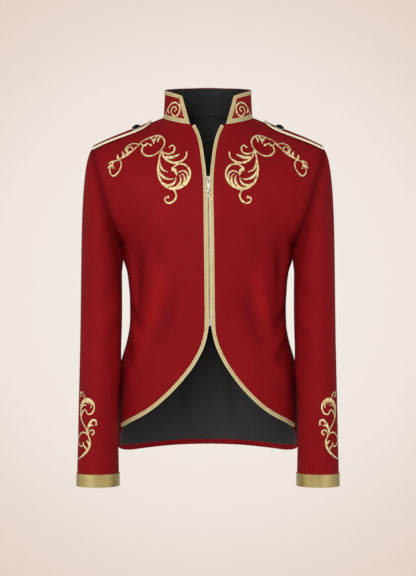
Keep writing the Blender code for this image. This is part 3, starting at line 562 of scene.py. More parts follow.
UNDERARM_RIDGES = (
    # as for the torso, but round each sleeve from its front, outwards first
    (-75, -200, -75, -295, 0, 20, -5),
    (-72, -430, -72, -510, 0, 20, -2),
)
SLEEVE_CREASES = {
    "left": (
        (-60, -290, 10, -385, 6, 8, 2.4),
        (-70, -335, 20, -420, -6, 8.5, -2),
        (-65, -375, 0, -440, 6, 8, 2.4),
        (-60, -420, 30, -500, -4, 9, 1.6),
        (20, -120, 40, -260, 4, 10, 1.6),
        (-20, -150, -45, -290, 4, 9, 2.2),
        (85, -160, 120, -300, -6, 10, 2.2),
        (110, -330, 70, -440, 6, 10, 2),
        (130, -400, 95, -480, -6, 9, -1.8),
        (-50, -540, 10, -625, 4, 9, 1.4),
        (120, -540, 80, -640, 4, 9, 1.4),
    ),
    "right": (
        (-62, -280, 5, -370, 6, 8, 2.6),
        (-68, -325, 25, -405, -6, 8.5, -2.2),
        (-66, -365, -5, -450, 5, 8, 2.2),
        (-58, -430, 25, -490, -4, 9, 1.8),
        (24, -130, 34, -270, 4, 10, 1.4),
        (-22, -140, -50, -300, 4, 9, 2.4),
        (90, -150, 115, -290, -6, 10, 2),
        (112, -340, 74, -450, 6, 10, 2.2),
        (128, -390, 90, -470, -6, 9, -1.8),
        (-48, -530, 15, -620, 4, 9, 1.6),
    ),
}


def round_sleeve(points):
    """The distance round a sleeve from its front, outwards first, and the way out."""
    heights, across, fore = np.array(SLEEVE_MIDDLE).T
    side = np.sign(points[:, 0])
    level = np.minimum(points[:, 2], heights[-1])
    x = (points[:, 0] - side * np.interp(level, heights, across)) / SLEEVE_HALF_WIDTH
    y = (points[:, 1] - np.interp(level, heights, fore)) / SLEEVE_HALF_DEPTH
    up = (points[:, 2] - level) / SLEEVE_HALF_WIDTH
    out = np.stack([x / SLEEVE_HALF_WIDTH, y / SLEEVE_HALF_DEPTH, up / SLEEVE_HALF_WIDTH], axis=1)
    return np.arctan2(side * x, -y) * SLEEVE_RADIUS, unit(out)


def calm_sleeve(points):
    """Creases die out at the armhole and above the cuff."""
    return calm(from_armhole(points), SEAM_CALM) * calm(points[:, 2] - CUFF_TOP, CUFF_CALM)


sleeves = {}
for side in SIDES:
    sleeve = shell(f"cloth_sleeve_{side}", f"sleeve_{side}")
    crease(sleeve, SLEEVE_CREASES[side] + UNDERARM_RIDGES, round_sleeve, calm_sleeve)
    lay_weave(sleeve, round_sleeve)
    line_inside(sleeve, round_sleeve)
    dress(sleeve, f"sleeve_{side}", "red_cloth", RED, BLACK)
    sleeves[side] = sleeve


# The cuffs
# A plain band of gold satin round each wrist. It is turned in at both edges, and sewn on all round
# with gold thread.

FLOAT_PITCH = 0.0011  # from one thread of the satin to the next
SATIN_DEEP, SATIN_BRIGHT = (0.205, 0.130, 0.021), (0.580, 0.455, 0.172)


def gold_satin():
    """Gold satin band: long floats that lie round the wrist, with their shine painted in broad soft
    streaks.
    """
    finish = Finish("gold_satin", {"Sheen Weight": 0.10, "Sheen Roughness": 0.3})
    where, threads = finish.place(), finish.threads()
    floats = finish.wave(threads, FLOAT_PITCH, "Y", 1.2)
    fine = finish.noise(where, 700.0)
    streaks = finish.noise(finish.stretch(threads, (18.0, 420.0, 1.0)), 1.0)
    broad = finish.noise(finish.stretch(threads, (26.0, 6.0, 1.0)), 1.0, 1.0)
    # painted sheen: broad soft streaks of shine, with finer streaks along the floats
    shade = broad * 2.00 + streaks * 0.45 + floats * 0.12 + fine * 0.12 - 0.87
    finish.colour(shade, SATIN_DEEP, SATIN_BRIGHT)
    finish.set("Roughness", 0.36 + fine * 0.16)
    finish.relief(floats * 0.5 + streaks * 0.5, 0.00018, 0.5)
    return finish.material


SATIN = gold_satin()

cuffs = {}
for side in SIDES:
    cuff = shell(f"cuff_band_{side}", f"cuff_{side}")
    lay_weave(cuff, round_sleeve)
    dress(cuff, f"cuff_{side}", "gold_satin", SATIN)
    cuffs[side] = cuff


# The collar
# A stiff stand collar of the red cloth, lined in black. A frame of gold braid, folded to a mitre at
# the corners, is sewn all round its outer face.

COLLAR_SEAM = 0.0018  # what the collar's cloths reach down into the neck seam
FOOT_RISE = 0.010  # how far up from the foot they are let down at all
FOOT_CELL = 0.006  # the foot is found in stretches of this length
RIM = 0.0011  # the width of the pale line along each edge of the trim
RIM_COLOUR = (0.840, 0.700, 0.430)
BRAID_RIB = 0.0012  # from rib to rib
BRAID_DEEP, BRAID_BRIGHT = (0.340, 0.265, 0.095), (0.640, 0.530, 0.260)
TURNING = 0.0022  # by how much the red cloth is turned over the edges of the collar's lining
TURNING_ABOVE = 0.030  # not at its foot, which is sewn into the neck seam
TURNING_CRISP = 3000.0  # how sharply the turned-over red ends


def lay_rims(piece, name="weave"):
    """A map of how far each place lies from the crisp edges of its piece, and of its height."""
    points = points_of(piece)
    nearest = np.full(len(points), np.inf)
    for edge in piece.data.edges:
        if edge.use_edge_sharp:
            nearest = np.minimum(nearest, from_line(points, *points[list(edge.vertices)]))
    lay_map(piece, name, nearest, points[:, 2])


def gold_braid():
    """Gold satin braid and binding: fine slant ribs, with a paler line along each edge."""
    finish = Finish("gold_braid", {"Sheen Weight": 0.10, "Sheen Roughness": 0.3})
    where = finish.place()
    ribs = finish.wave(where, BRAID_RIB, "DIAGONAL", 0.8)
    fine = finish.noise(where, 800.0)
    worn = finish.noise(where, 70.0, 3.0)
    shade = worn * 0.75 + ribs * 0.20 + fine * 0.20 - 0.10
    khaki = finish.mix(shade, BRAID_DEEP, BRAID_BRIGHT)
    rim = 1 - finish.part(finish.threads(), "X") / RIM
    rim = rim.maths("MAXIMUM", rim, 0.0) ** 0.7
    finish.colour(rim * 0.85, khaki, RIM_COLOUR)
    finish.set("Roughness", 0.38 + fine * 0.2)
    finish.relief(ribs * 0.6 + fine * 0.4, 0.00016, 0.6)
    return finish.material


def turned_black():
    """The same black lining, painted darker for the shade inside the collar and less glossy, with the
    red cloth turned over its edges by a little.
    """
    # painted shade: darker colours than the body's lining, for the shade inside the collar
    finish = black_cloth("black_collar_lining", 0.15, (0.002,) * 3, (0.013,) * 3)
    inwards, height = (finish.part(finish.threads("rims"), letter) for letter in "XY")
    edge = (TURNING - inwards) * TURNING_CRISP
    edge = edge.maths("MINIMUM", edge, (height - TURNING_ABOVE) * TURNING_CRISP)
    finish.colour(edge, finish.base, RED_DEEP)
    return finish.material


BRAID = gold_braid()
COLLAR_BLACK = turned_black()


def let_down(piece, drop):
    """Lets the foot of a stand collar down into the neck seam, all round."""
    points = points_of(piece)
    around, _ = round_neck(points)
    cell = np.round(around / FOOT_CELL).astype(int)
    foot = np.array([points[cell == here, 2].min() for here in cell])
    points[:, 2] -= drop * smoothly(1 - (points[:, 2] - foot) / FOOT_RISE)
    move_points(piece, points)


collar = shell("cloth_collar", "collar")
let_down(collar, COLLAR_SEAM)
lay_weave(collar, round_neck)
dress(collar, "collar", "red_cloth", RED)

collar_lining = shell("lining_collar", "collar_lining")
let_down(collar_lining, COLLAR_SEAM)
lay_weave(collar_lining, round_neck)
lay_rims(collar_lining, "rims")
dress(collar_lining, "collar_lining", "lining", COLLAR_BLACK)

collar_braid = shell("braid_collar", "collar_braid")
lay_rims(collar_braid)
dress(collar_braid, "collar_braid", "gold_braid", BRAID)


# The edge bindings
# A strip of gold satin folded over the raw edge of each front, from the foot of the collar down
# beside the zip and round the cut-away.

bindings = {}
for side in SIDES:
    binding = shell(f"binding_{side}", f"front_binding_{side}")
    crease(binding, TORSO_CREASES, round_torso, calm_torso)
    lay_rims(binding)
    dress(binding, f"front_binding_{side}", "gold_braid", BRAID)
    bindings[side] = binding


# The zip
# Two beige tapes sewn behind the front edges carry rows of small plated teeth, which mesh in the
# middle and end at a stop. The slider, closed at the top, and its hanging tab are the solids' own.

TOOTH_REACH = 0.0024  # across the zip
TOOTH_HEIGHT = 0.0010
TOOTH_DEPTH = 0.0020
TOOTH_SPACING = 0.0021
TOOTH_MIDDLE = 0.0012  # from the middle of the zip to the middle of a tooth
TOOTH_BEVEL = 0.0002
TOOTH_TAPER = (1, 0.70, 0.45)  # how a tooth narrows towards its tip
TAPE_MEET = 0.0004  # from the middle of the zip to the edge of each tape
TAPE_PULL = 0.0030  # how wide a margin of each tape is drawn to the middle
TAPE_THREADS = (0.0005, 0.0006)  # from thread to thread, across and along
TAPE_DEEP, TAPE_BRIGHT = (0.50, 0.41, 0.25), (0.78, 0.68, 0.46)


def middle_line(node):
    """How far a long upright solid's middle lies in x and y, as two smooth functions of height."""
    points = points_of(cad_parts[node])
    return [np.poly1d(np.polyfit(points[:, 2], points[:, axis], deg=3)) for axis in (0, 1)]


def new_piece(name, points, edges, faces):
    """A new piece from its points, edges and faces, left active."""
    mesh = bpy.data.meshes.new(name)
    mesh.from_pydata(points, edges, faces)
    return place_mesh(name, mesh)


def copies(name, model, places):
    """Many copies of one modelled shape, joined in one mesh. The model itself goes."""
    shape = np.hstack([points_of(model), np.ones((len(model.data.vertices), 1))])
    cells = [tuple(face.vertices) for face in model.data.polygons]
    points, faces = [], []
    for place in places:
        start = len(points) * len(shape)
        points.append((shape @ np.array(place).T)[:, :3])
        faces += [tuple(v + start for v in cell) for cell in cells]
    bpy.data.objects.remove(model)
    piece = new_piece(name, np.concatenate(points).tolist(), [], faces)
    piece.data.validate()
    bpy.ops.object.shade_smooth_by_angle(angle=SHARP)
    return piece


def zip_tape():
    """Beige woven tape."""
    finish = Finish("zip_tape", {"Sheen Weight": 0.10})
    threads = finish.threads()
    across = finish.wave(threads, TAPE_THREADS[0], "X", 0.2)
    along = finish.wave(threads, TAPE_THREADS[1], "Y", 0.2)
    shade = across * 0.5 + along * 0.5
    finish.colour(shade, TAPE_DEEP, TAPE_BRIGHT)
    finish.set("Roughness", 0.75 + along * 0.1)
    finish.relief(shade, 0.00015, 0.6)
    return finish.material


def zip_metal(name, metallic, dark, pale):
    """Plated metal, pale and warm, with dark spots where the plating is rubbed."""
    finish = Finish(name, {"Metallic": metallic})
    where = finish.place()
    rubbed = finish.noise(where, 420.0, 2.0)
    scratches = finish.noise(finish.stretch(where, (1.0, 1.0, 0.08)), 1800.0)
    finish.colour(rubbed * 4 - 1.35, dark, pale)
    finish.set("Roughness", 0.34 + scratches * 0.30)
    finish.relief(scratches, 0.00004, 0.5)
    return finish.material


TAPE = zip_tape()
METAL = zip_metal("zip_metal", 1.0, (0.07, 0.06, 0.05), (0.58, 0.54, 0.47))
TEETH = zip_metal("zip_teeth", 0.3, (0.42, 0.36, 0.25), (0.88, 0.80, 0.62))

bpy.ops.object.select_all(action="DESELECT")
bpy.ops.mesh.primitive_cube_add(size=1, scale=(TOOTH_REACH, TOOTH_DEPTH, TOOTH_HEIGHT))
tooth = bpy.context.object
bpy.ops.object.transform_apply(scale=True)
open_mesh("DESELECT")
close_mesh()
for corner in tooth.data.vertices:
    corner.select = corner.co.x < 0
bpy.ops.object.mode_set(mode="EDIT")
bpy.ops.transform.resize(value=TOOTH_TAPER, center_override=(0, 0, 0))
bpy.ops.mesh.select_all(action="SELECT")
bpy.ops.mesh.bevel(offset=TOOTH_BEVEL, segments=2)
close_mesh()

chain_low, chain_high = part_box("zip_chain")
chain_x, chain_y = middle_line("zip_chain")
places = []
for count in range(int((chain_high[2] - chain_low[2]) / TOOTH_SPACING)):
    for flip in SIDES.values():
        # The teeth of the right row are turned round, and lie half a space lower.
        turned_round = (1 - flip) / 2
        z = chain_high[2] - TOOTH_HEIGHT - (count + turned_round / 2) * TOOTH_SPACING
        spot = Matrix.Translation((chain_x(z) + flip * TOOTH_MIDDLE, chain_y(z), z))
        places.append(spot @ Matrix.Rotation(turned_round * math.pi, 4, "Z"))
teeth = copies("zip_teeth", tooth, places)
dress(teeth, "zip_chain", "zip_metal", TEETH)

for side, flip in SIDES.items():
    tape = shell(f"tape_{side}", f"zip_tape_{side}", rounding=1)
    points = points_of(tape)
    from_middle = flip * (points[:, 0] - chain_x(points[:, 2]))
    inner = from_middle.min()
    share = smoothly(1 - (from_middle - inner) / TAPE_PULL)
    below_slider = points[:, 2] < chain_high[2]
    points[:, 0] -= flip * share * (inner - TAPE_MEET) * below_slider
    move_points(tape, points)
    lay_weave(tape, round_torso)
    dress(tape, f"zip_tape_{side}", "zip_tape", TAPE)

for node in ("zip_stop", "zip_slider", "zip_pull"):
    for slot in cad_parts[node].material_slots:
        slot.material = METAL


# The shoulder straps
# A pointed strap of the red cloth lies along each shoulder seam, edged with a pale gold cord and
# held near its point by a black button in a pale metal rim.

BUTTON_RIM = (
    # radius, height over the strap
    (0.0000, 0.0003), (0.0030, 0.0003), (0.0034, 0.0008), (0.0076, 0.0008), (0.0085, 0.0011),
    (0.0088, 0.0017), (0.0086, 0.0024), (0.0082, 0.0026), (0.0079, 0.0024),
)
BUTTON_FACE = (
    # as for the rim
    (0.0079, 0.0024), (0.0076, 0.0031), (0.0066, 0.0043), (0.0050, 0.0051), (0.0032, 0.0056),
    (0.0016, 0.0058), (0.0000, 0.0059),
)
BUTTON_EDGE = BUTTON_RIM[4][0]  # the tilted button rests on a ring of this radius
BUTTON_TILT = math.radians(7)
BUTTON_STEPS = 48
BUTTON_SHARP = math.radians(40)
CORD_TWIST = 0.0020  # from strand to strand
CORD_DEEP, CORD_BRIGHT = (0.700, 0.560, 0.300), (1.000, 0.930, 0.700)
ENAMEL_DEEP, ENAMEL_DUSTY = (0.003, 0.003, 0.004), (0.009, 0.009, 0.010)


def along_strap(points):
    """Across the strap, and up."""
    return points[:, 1], np.tile((0.0, 0.0, 1.0), (len(points), 1))


def cream_cord():
    """Pale gold cord of twisted satin strands."""
    finish = Finish("cream_cord", {"Sheen Weight": 0.15, "Sheen Roughness": 0.3})
    where = finish.place()
    strands = finish.wave(where, CORD_TWIST, "DIAGONAL", 0.5)
    fine = finish.noise(where, 900.0)
    shade = strands * 0.8 + fine * 0.4 + 0.1
    finish.colour(shade, CORD_DEEP, CORD_BRIGHT)
    finish.set("Roughness", 0.36 + fine * 0.2)
    finish.relief(strands, 0.00035, 0.7)
    return finish.material


def black_enamel():
    """Glossy black, with faint specks of dust and wear."""
    finish = Finish("black_enamel", {"Specular IOR Level": 0.12})
    where = finish.place()
    specks = finish.noise(where, 1500.0, 3.0)
    finish.colour(specks, ENAMEL_DEEP, ENAMEL_DUSTY)
    finish.set("Roughness", 0.22 + specks * 0.16)
    finish.relief(specks, 0.00003, 0.4)
    return finish.material


def turned(name, profile, steps):
    """A round shape, spun from its outline about the upright axis."""
    runs = [(k, k + 1) for k in range(len(profile) - 1)]
    piece = new_piece(name, [(radius, 0, height) for radius, height in profile], runs, [])
    open_mesh()
    bpy.ops.mesh.spin(steps=steps, angle=2 * math.pi, center=(0, 0, 0), axis=(0, 0, 1))
    bpy.ops.mesh.select_all(action="SELECT")
    bpy.ops.mesh.remove_doubles(threshold=SAME_POINT)
    bpy.ops.mesh.normals_make_consistent(inside=False)
    close_mesh()
    return piece


def seat_of(node):
    """The frame of a flat round solid: its foot's middle, with its axis as the upright."""
    points = points_of(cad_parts[node])
    points = np.unique(points.round(6), axis=0)
    middle = points.mean(axis=0)
    _, ways = np.linalg.eigh(np.cov((points - middle).T))
    up = ways[:, 0] * np.sign(ways[2, 0])
    across = unit(np.cross((0.0, 1.0, 0.0), up))
    aft = np.cross(up, across)
    foot = middle + up * ((points - middle) @ up).min()
    seat = Matrix(np.column_stack([across, aft, up]).tolist()).to_4x4()
    return Matrix.Translation(foot) @ seat


CREAM = cream_cord()
ENAMEL = black_enamel()
RIM_METAL = zip_metal("rim_metal", 0.4, (0.40, 0.38, 0.35), (0.80, 0.78, 0.74))

straps = {}
for side in SIDES:
    strap = shell(f"strap_{side}", f"epaulette_{side}")
    lay_weave(strap, along_strap, lengthwise=0)
    dress(strap, f"epaulette_{side}", "red_cloth", RED)
    straps[side] = strap
    cord = shell(f"strap_cord_{side}", f"epaulette_piping_{side}")
    dress(cord, f"epaulette_piping_{side}", "gold_braid", CREAM)
    button = turned(f"strap_button_{side}", BUTTON_RIM + BUTTON_FACE[1:], BUTTON_STEPS)
    for face in button.data.polygons:
        reach = math.hypot(face.center.x, face.center.y)
        face.material_index = int(reach < BUTTON_FACE[0][0] and face.normal.z > 0)
    tilt = Matrix.Translation((0, 0, BUTTON_EDGE * math.sin(BUTTON_TILT)))
    tilt @= Matrix.Rotation(BUTTON_TILT, 4, "X")
    button.data.transform(seat_of(f"epaulette_button_{side}") @ tilt)
    bpy.ops.object.shade_smooth_by_angle(angle=BUTTON_SHARP)
    dress(button, f"epaulette_button_{side}", "button", RIM_METAL, ENAMEL)


# The chest embroidery
# Acanthus scrolls in gold satin stitch, worked over a padding, so every stem and leaf is a low
# rounded ridge. The wearer's left side is drawn here, and the right side mirrors it.

STITCH_STEP = 0.0009  # from one ring of a stroke to the next
RIDGE = (0.30, 0.00085)  # a stroke's height as a share of its width, and the most it may be
RIDGE_ROUND = 0.6  # the lower, the fuller a stroke's crown
SUNK = 0.0003  # how far the foot of a stroke lies under the face of the cloth
STROKE_SIDES = 7
THREAD_SHARP = math.radians(65)
SPAN_STEPS = 14
KNOT_RINGS = (0.0, 0.35, 0.65, 0.88, 0.985)  # how far each climbs, as a share of a quarter turn
KNOT_SIDES = 12
KNOT_HEIGHT = (0.5, 1.25)  # as a share of its radius, and how much over a stroke's it may be
KNOT_ASKEW = (0.3, 0.2, 1.0)  # a direction that the cloth never faces
LEAF_ENDS = (0.04, 0.985)  # where along its swelling a leaf begins and stops
LEAF_EARLY = 0.8  # the lower, the nearer to its foot a leaf is widest
LEAF_FULL = 0.75  # the lower, the fuller a leaf
FEWEST_STEPS = 4
AHEAD = 0.500  # the pattern is dropped onto the cloth from here
THREAD_PITCH = 0.00042
THREAD_SLANT = 0.0012  # how far a thread runs on from the crown to the edge of a stroke
EDGING = 1.5  # millimetres by which each stroke is widened for the painted shadow along its edges
THREAD_DEEP, THREAD_BRIGHT = (0.430, 0.215, 0.050), (1.000, 0.820, 0.430)
EDGE_SHADOW_COLOUR = (0.060, 0.008, 0.004)

CHEST_STEMS = (
    # width at the start, in the middle and at the end, the end knot's radius, and then its places:
    # distance from the middle plane and z; all in millimetres
    ((1.8, 3.2, 1.3, 0.0), ((85.5, -70.5), (80, -61.5), (79.5, -52), (84.5, -44.5), (92.5, -41.5),
        (102, -43), (112, -47), (120, -51), (127, -56.5))),
    ((1.5, 2.8, 1.8, 2.8), ((85.5, -70.5), (95, -78), (106.5, -81), (116.5, -77.5), (121, -69.5),
        (118, -61), (110.5, -57), (104, -59.5))),
    ((1.3, 2.7, 1.6, 2.0), ((85.5, -71), (78.5, -76.5), (69.5, -78), (62, -74), (60.5, -66.5),
        (65, -62), (70, -65.5))),
    ((1.8, 4.4, 1.9, 1.8), ((85, -71), (81, -81.5), (73, -90.5), (61, -95), (48.5, -92.5),
        (40, -85), (38.5, -76))),
    ((1.8, 4.6, 2.6, 0.0), ((85, -70), (88.5, -88), (90.5, -107), (87, -124), (79, -135.5),
        (66, -142.5), (52, -141.5), (39.5, -133.5), (32.5, -120), (34, -107), (43, -98.5),
        (54, -98), (62, -103.5), (65, -110))),
    ((1.6, 3.4, 2.1, 2.7), ((66, -142), (59.5, -147.5), (57, -156), (61, -164.5), (69.5, -168.5),
        (76.5, -165), (76.5, -159), (71.5, -157.5))),
    ((1.6, 3.2, 1.1, 0.0), ((41, -134), (36.8, -125), (37.5, -116), (43.5, -110.5), (50.5, -111.5),
        (54, -115))),
    ((1.4, 2.5, 1.6, 0.0), ((126, -58.5), (135, -55), (146, -58), (151.5, -65.5), (148, -71.5),
        (140.5, -70.5), (134, -65), (126, -58.5))),
    ((1.3, 2.0, 1.3, 1.8), ((148, -69.5), (147.5, -63.5), (141.5, -61.5), (138.5, -65))),
    ((1.4, 2.0, 1.3, 1.8), ((125, -54.5), (119, -59.5), (113, -60), (112.5, -56))),
    ((1.6, 5.0, 1.8, 0.0), ((131, -62), (140, -70.5), (149, -77.5), (156.5, -82), (164, -86))),
    ((1.4, 2.4, 1.6, 0.0), ((163, -86), (159, -92), (159.5, -101), (165, -110.5), (172.5, -116),
        (179, -110.5), (179.5, -102), (174.5, -96.5))),
    ((1.4, 2.0, 1.3, 2.0), ((163, -86), (170.5, -88), (175, -93.5), (173, -101))),
    ((1.2, 4.4, 1.0, 0.0), ((87.5, -88), (86.5, -99), (81.5, -107.5), (72.5, -112))),
    ((1.2, 5.2, 1.0, 0.0), ((90, -103), (86, -114.5), (78.5, -122), (68, -125.5), (62, -124))),
    ((1.2, 4.8, 1.0, 0.0), ((82, -131), (73, -136), (64, -134.5), (58.5, -128.5), (57.5, -122))),
    ((1.2, 4.8, 1.0, 0.0), ((68, -141), (58, -140), (51, -134), (48.5, -126), (50.5, -118.5))),
    ((1.2, 4.2, 1.0, 0.0), ((52, -140.5), (45, -135), (42, -127.5), (43, -119.5), (47, -115.5))),
)
CHEST_LEAVES = (
    # width, bow, then the places of its foot and its tip
    ((4.4, 1.6), (87.0, -44.0), (91.5, -54.5)),
    ((4.2, 1.4), (93.0, -42.5), (97.5, -52.5)),
    ((4.2, -2.0), (104.5, -46.0), (99.0, -57.5)),
    ((6.6, 3.0), (80.5, -84.0), (51.0, -79.5)),
    ((7.0, -2.4), (65.5, -104.5), (56.0, -118.5)),
    ((4.6, 1.8), (151.0, -79.0), (148.5, -67.5)),
    ((4.8, 2.4), (157.0, -83.0), (158.0, -70.0)),
    ((4.2, -1.6), (162.5, -85.5), (166.0, -75.5)),
    ((4.2, 1.6), (171.0, -88.5), (182.5, -93.0)),
    ((3.8, 1.4), (175.0, -94.5), (183.5, -101.5)),
)


def tree_of(pieces):
    """A search tree over the faces of finished pieces."""
    corners, faces = [], []
    for piece in pieces:
        start = len(corners)
        corners += [v.co.copy() for v in piece.data.vertices]
        faces += [[v + start for v in f.vertices] for f in piece.data.polygons]
    return BVHTree.FromPolygons(corners, faces)


def smooth_line(corners):
    """A smooth line through a few corners."""
    corners = np.array(corners, float)
    ends = 2 * corners[0] - corners[1], 2 * corners[-1] - corners[-2]
    corners = np.vstack([ends[0], corners, ends[1]])
    line = []
    for before, start, end, after in zip(corners, corners[1:], corners[2:], corners[3:]):
        for t in np.linspace(0, 1, SPAN_STEPS, endpoint=False):
            bend = (2 * before - 5 * start + 4 * end - after) * t * t
            turn = (3 * start - before - 3 * end + after) * t**3
            line.append((2 * start + (end - before) * t + bend + turn) / 2)
    return np.array(line + [corners[-2]])


def dropped(tree, line, flip):
    """A drawn line on the cloth: its places, and the way out of the cloth there."""
    places, ways = [], []
    for across, height in line:
        start = Vector((flip * across * MM, -AHEAD, height * MM))
        place, way, _, _ = tree.ray_cast(start, Vector((0, 1, 0)))
        if place is not None:
            places.append(place)
            ways.append(way)
    return np.array(places), np.array(ways)


def reached_by(places):
    """How far along a line each of its places lies."""
    return np.concatenate([[0], np.cumsum(np.linalg.norm(np.diff(places, axis=0), axis=1))])


def evenly(places, ways, step):
    """The same line with equal steps, and how far along it each station lies."""
    reached = reached_by(places)
    count = max(int(reached[-1] / step), FEWEST_STEPS)
    stations = np.linspace(0, reached[-1], count + 1)
    spread = [np.interp(stations, reached, column) for column in (*places.T, *ways.T)]
    return np.array(spread[:3]).T, unit(np.array(spread[3:]).T), stations


class Needlework:
    """Strokes of satin stitch, gathered into one mesh with a map of their threads."""

    def __init__(self):
        self.points = []
        self.faces = []
        self.maps = []

    def ring_strip(self, rings, maps):
        """Joins rings of points, each with its map, into a closed strip."""
        start, sides = len(self.points), len(rings[0])
        for ring, mapped in zip(rings, maps):
            self.points += [tuple(p) for p in ring]
            self.maps += mapped
        for r in range(len(rings) - 1):
            for k in range(sides):
                m = (k + 1) % sides
                a, b = start + r * sides, start + (r + 1) * sides
                self.faces.append((a + k, b + k, b + m, a + m))
        self.faces.append(tuple(start + k for k in range(sides)))
        last = start + (len(rings) - 1) * sides
        self.faces.append(tuple(last + k for k in reversed(range(sides))))

    def stroke(self, places, ways, widths):
        """A rounded ridge along a line on the cloth, as wide at each place as it is told."""
        along = unit(np.gradient(places, axis=0))
        across = unit(np.cross(along, ways))
        rings, maps = [], []
        stations = zip(places, ways, across, widths, reached_by(places))
        for place, way, aside, width, far in stations:
            height = min(RIDGE[0] * width, RIDGE[1])
            ring, mapped = [], []
            for share in np.linspace(-1, 1, STROKE_SIDES):
                lift = (height + SUNK) * (1 - share * share) ** RIDGE_ROUND - SUNK
                ring.append(place + aside * share * width / 2 + way * lift)
                mapped.append((far, (share + 1) / 2))
            rings.append(ring)
            maps.append(mapped)
        self.ring_strip(rings, maps)

    def knot(self, place, way, radius):
        """A round dome of stitches where a stem curls to its end."""
        first = unit(np.cross(way, KNOT_ASKEW))
        second = np.cross(way, first)
        share, over = KNOT_HEIGHT
        height = min(RIDGE[1], radius * share) * over
        rings, maps = [], []
        for climb in KNOT_RINGS:
            reach = radius * math.cos(climb * math.pi / 2)
            lift = math.sin(climb * math.pi / 2) * (height + SUNK) - SUNK
            ring, mapped = [], []
            for turn in np.linspace(0, 2 * math.pi, KNOT_SIDES, endpoint=False):
                spread = first * math.cos(turn) + second * math.sin(turn)
                ring.append(place + spread * reach + way * lift)
                mapped.append((reach * math.sin(turn), (1 + reach / radius * math.cos(turn)) / 2))
            rings.append(ring)
            maps.append(mapped)
        self.ring_strip(rings, maps)

    def finished(self, name):
        """The piece, with its faces turned outwards."""
        piece = new_piece(name, self.points, [], self.faces)
        lay_map(piece, "weave", *np.array(self.maps).T)
        open_mesh()
        bpy.ops.mesh.normals_make_consistent(inside=False)
        close_mesh()
        bpy.ops.object.shade_smooth_by_angle(angle=THREAD_SHARP)
        return piece


def gold_thread():
    """Gold satin stitch: slanting threads, with painted glints, a painted highlight on the crown, and
    a painted shadow along each edge.
    """
    finish = Finish("gold_thread", {"Metallic": 0.10, "Sheen Weight": 0.08})
    where, threads = finish.place(), finish.threads()
    along, across = finish.part(threads, "X"), finish.part(threads, "Y")
    from_middle = abs(across * 2 - 1)
    slant = along + from_middle * THREAD_SLANT
    rows = (slant * (2 * math.pi / THREAD_PITCH)).sine() * 0.5 + 0.5
    glints = finish.noise(where, 190.0)
    fine = finish.noise(where, 1200.0)
    # painted glints, and a painted highlight along the crown
    bright = glints * 2.8 - 1.15 + rows * 0.15 + fine * 0.20 + (1 - from_middle) * 0.35
    gold = finish.mix(bright, THREAD_DEEP, THREAD_BRIGHT)
    # painted shadow along the edges of each stroke
    finish.colour(from_middle**4 * 1.9, gold, EDGE_SHADOW_COLOUR)
    finish.set("Roughness", 0.30 + fine * 0.2)
    finish.relief(rows, 0.00012, 0.7)
    return finish.material


THREAD = gold_thread()


def embroider(name, pieces, stems, leaves=()):
    """Works a drawn pattern onto the cloth on the wearer's left, and mirrored on the right."""
    tree = tree_of(pieces)
    work = Needlework()
    for flip in SIDES.values():
        for (first, middle, last, knot), corners in stems:
            places, ways, reached = evenly(*dropped(tree, smooth_line(corners), flip), STITCH_STEP)
            share = reached / reached[-1]
            rise = first + (middle - first) * smoothly(2 * share)
            widths = np.where(share < 0.5, rise, middle + (last - middle) * smoothly(2 * share - 1))
            work.stroke(places, ways, (widths + EDGING) * MM)
            if knot:
                work.knot(places[-1], ways[-1], knot * MM)
        for (width, bow), foot, tip in leaves:
            foot, tip = np.array(foot), np.array(tip)
            run = tip - foot
            middle = foot + run / 2 + bow * unit(np.array([-run[1], run[0]]))
            line = dropped(tree, smooth_line([foot, middle, tip]), flip)
            places, ways, reached = evenly(*line, STITCH_STEP)
            share = reached / reached[-1]
            swell = np.sin(math.pi * np.clip(share, *LEAF_ENDS) ** LEAF_EARLY) ** LEAF_FULL
            work.stroke(places, ways, (width * swell + EDGING) * MM)
    piece = work.finished(name)
    piece.data.materials.append(THREAD)
    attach(piece, "jacket")


embroider("embroidery_chest", fronts.values(), CHEST_STEMS, CHEST_LEAVES)


# The sleeve embroidery
# A rising scroll on the front of each lower sleeve, from its middle to its outer edge, in the same
# gold satin stitch.

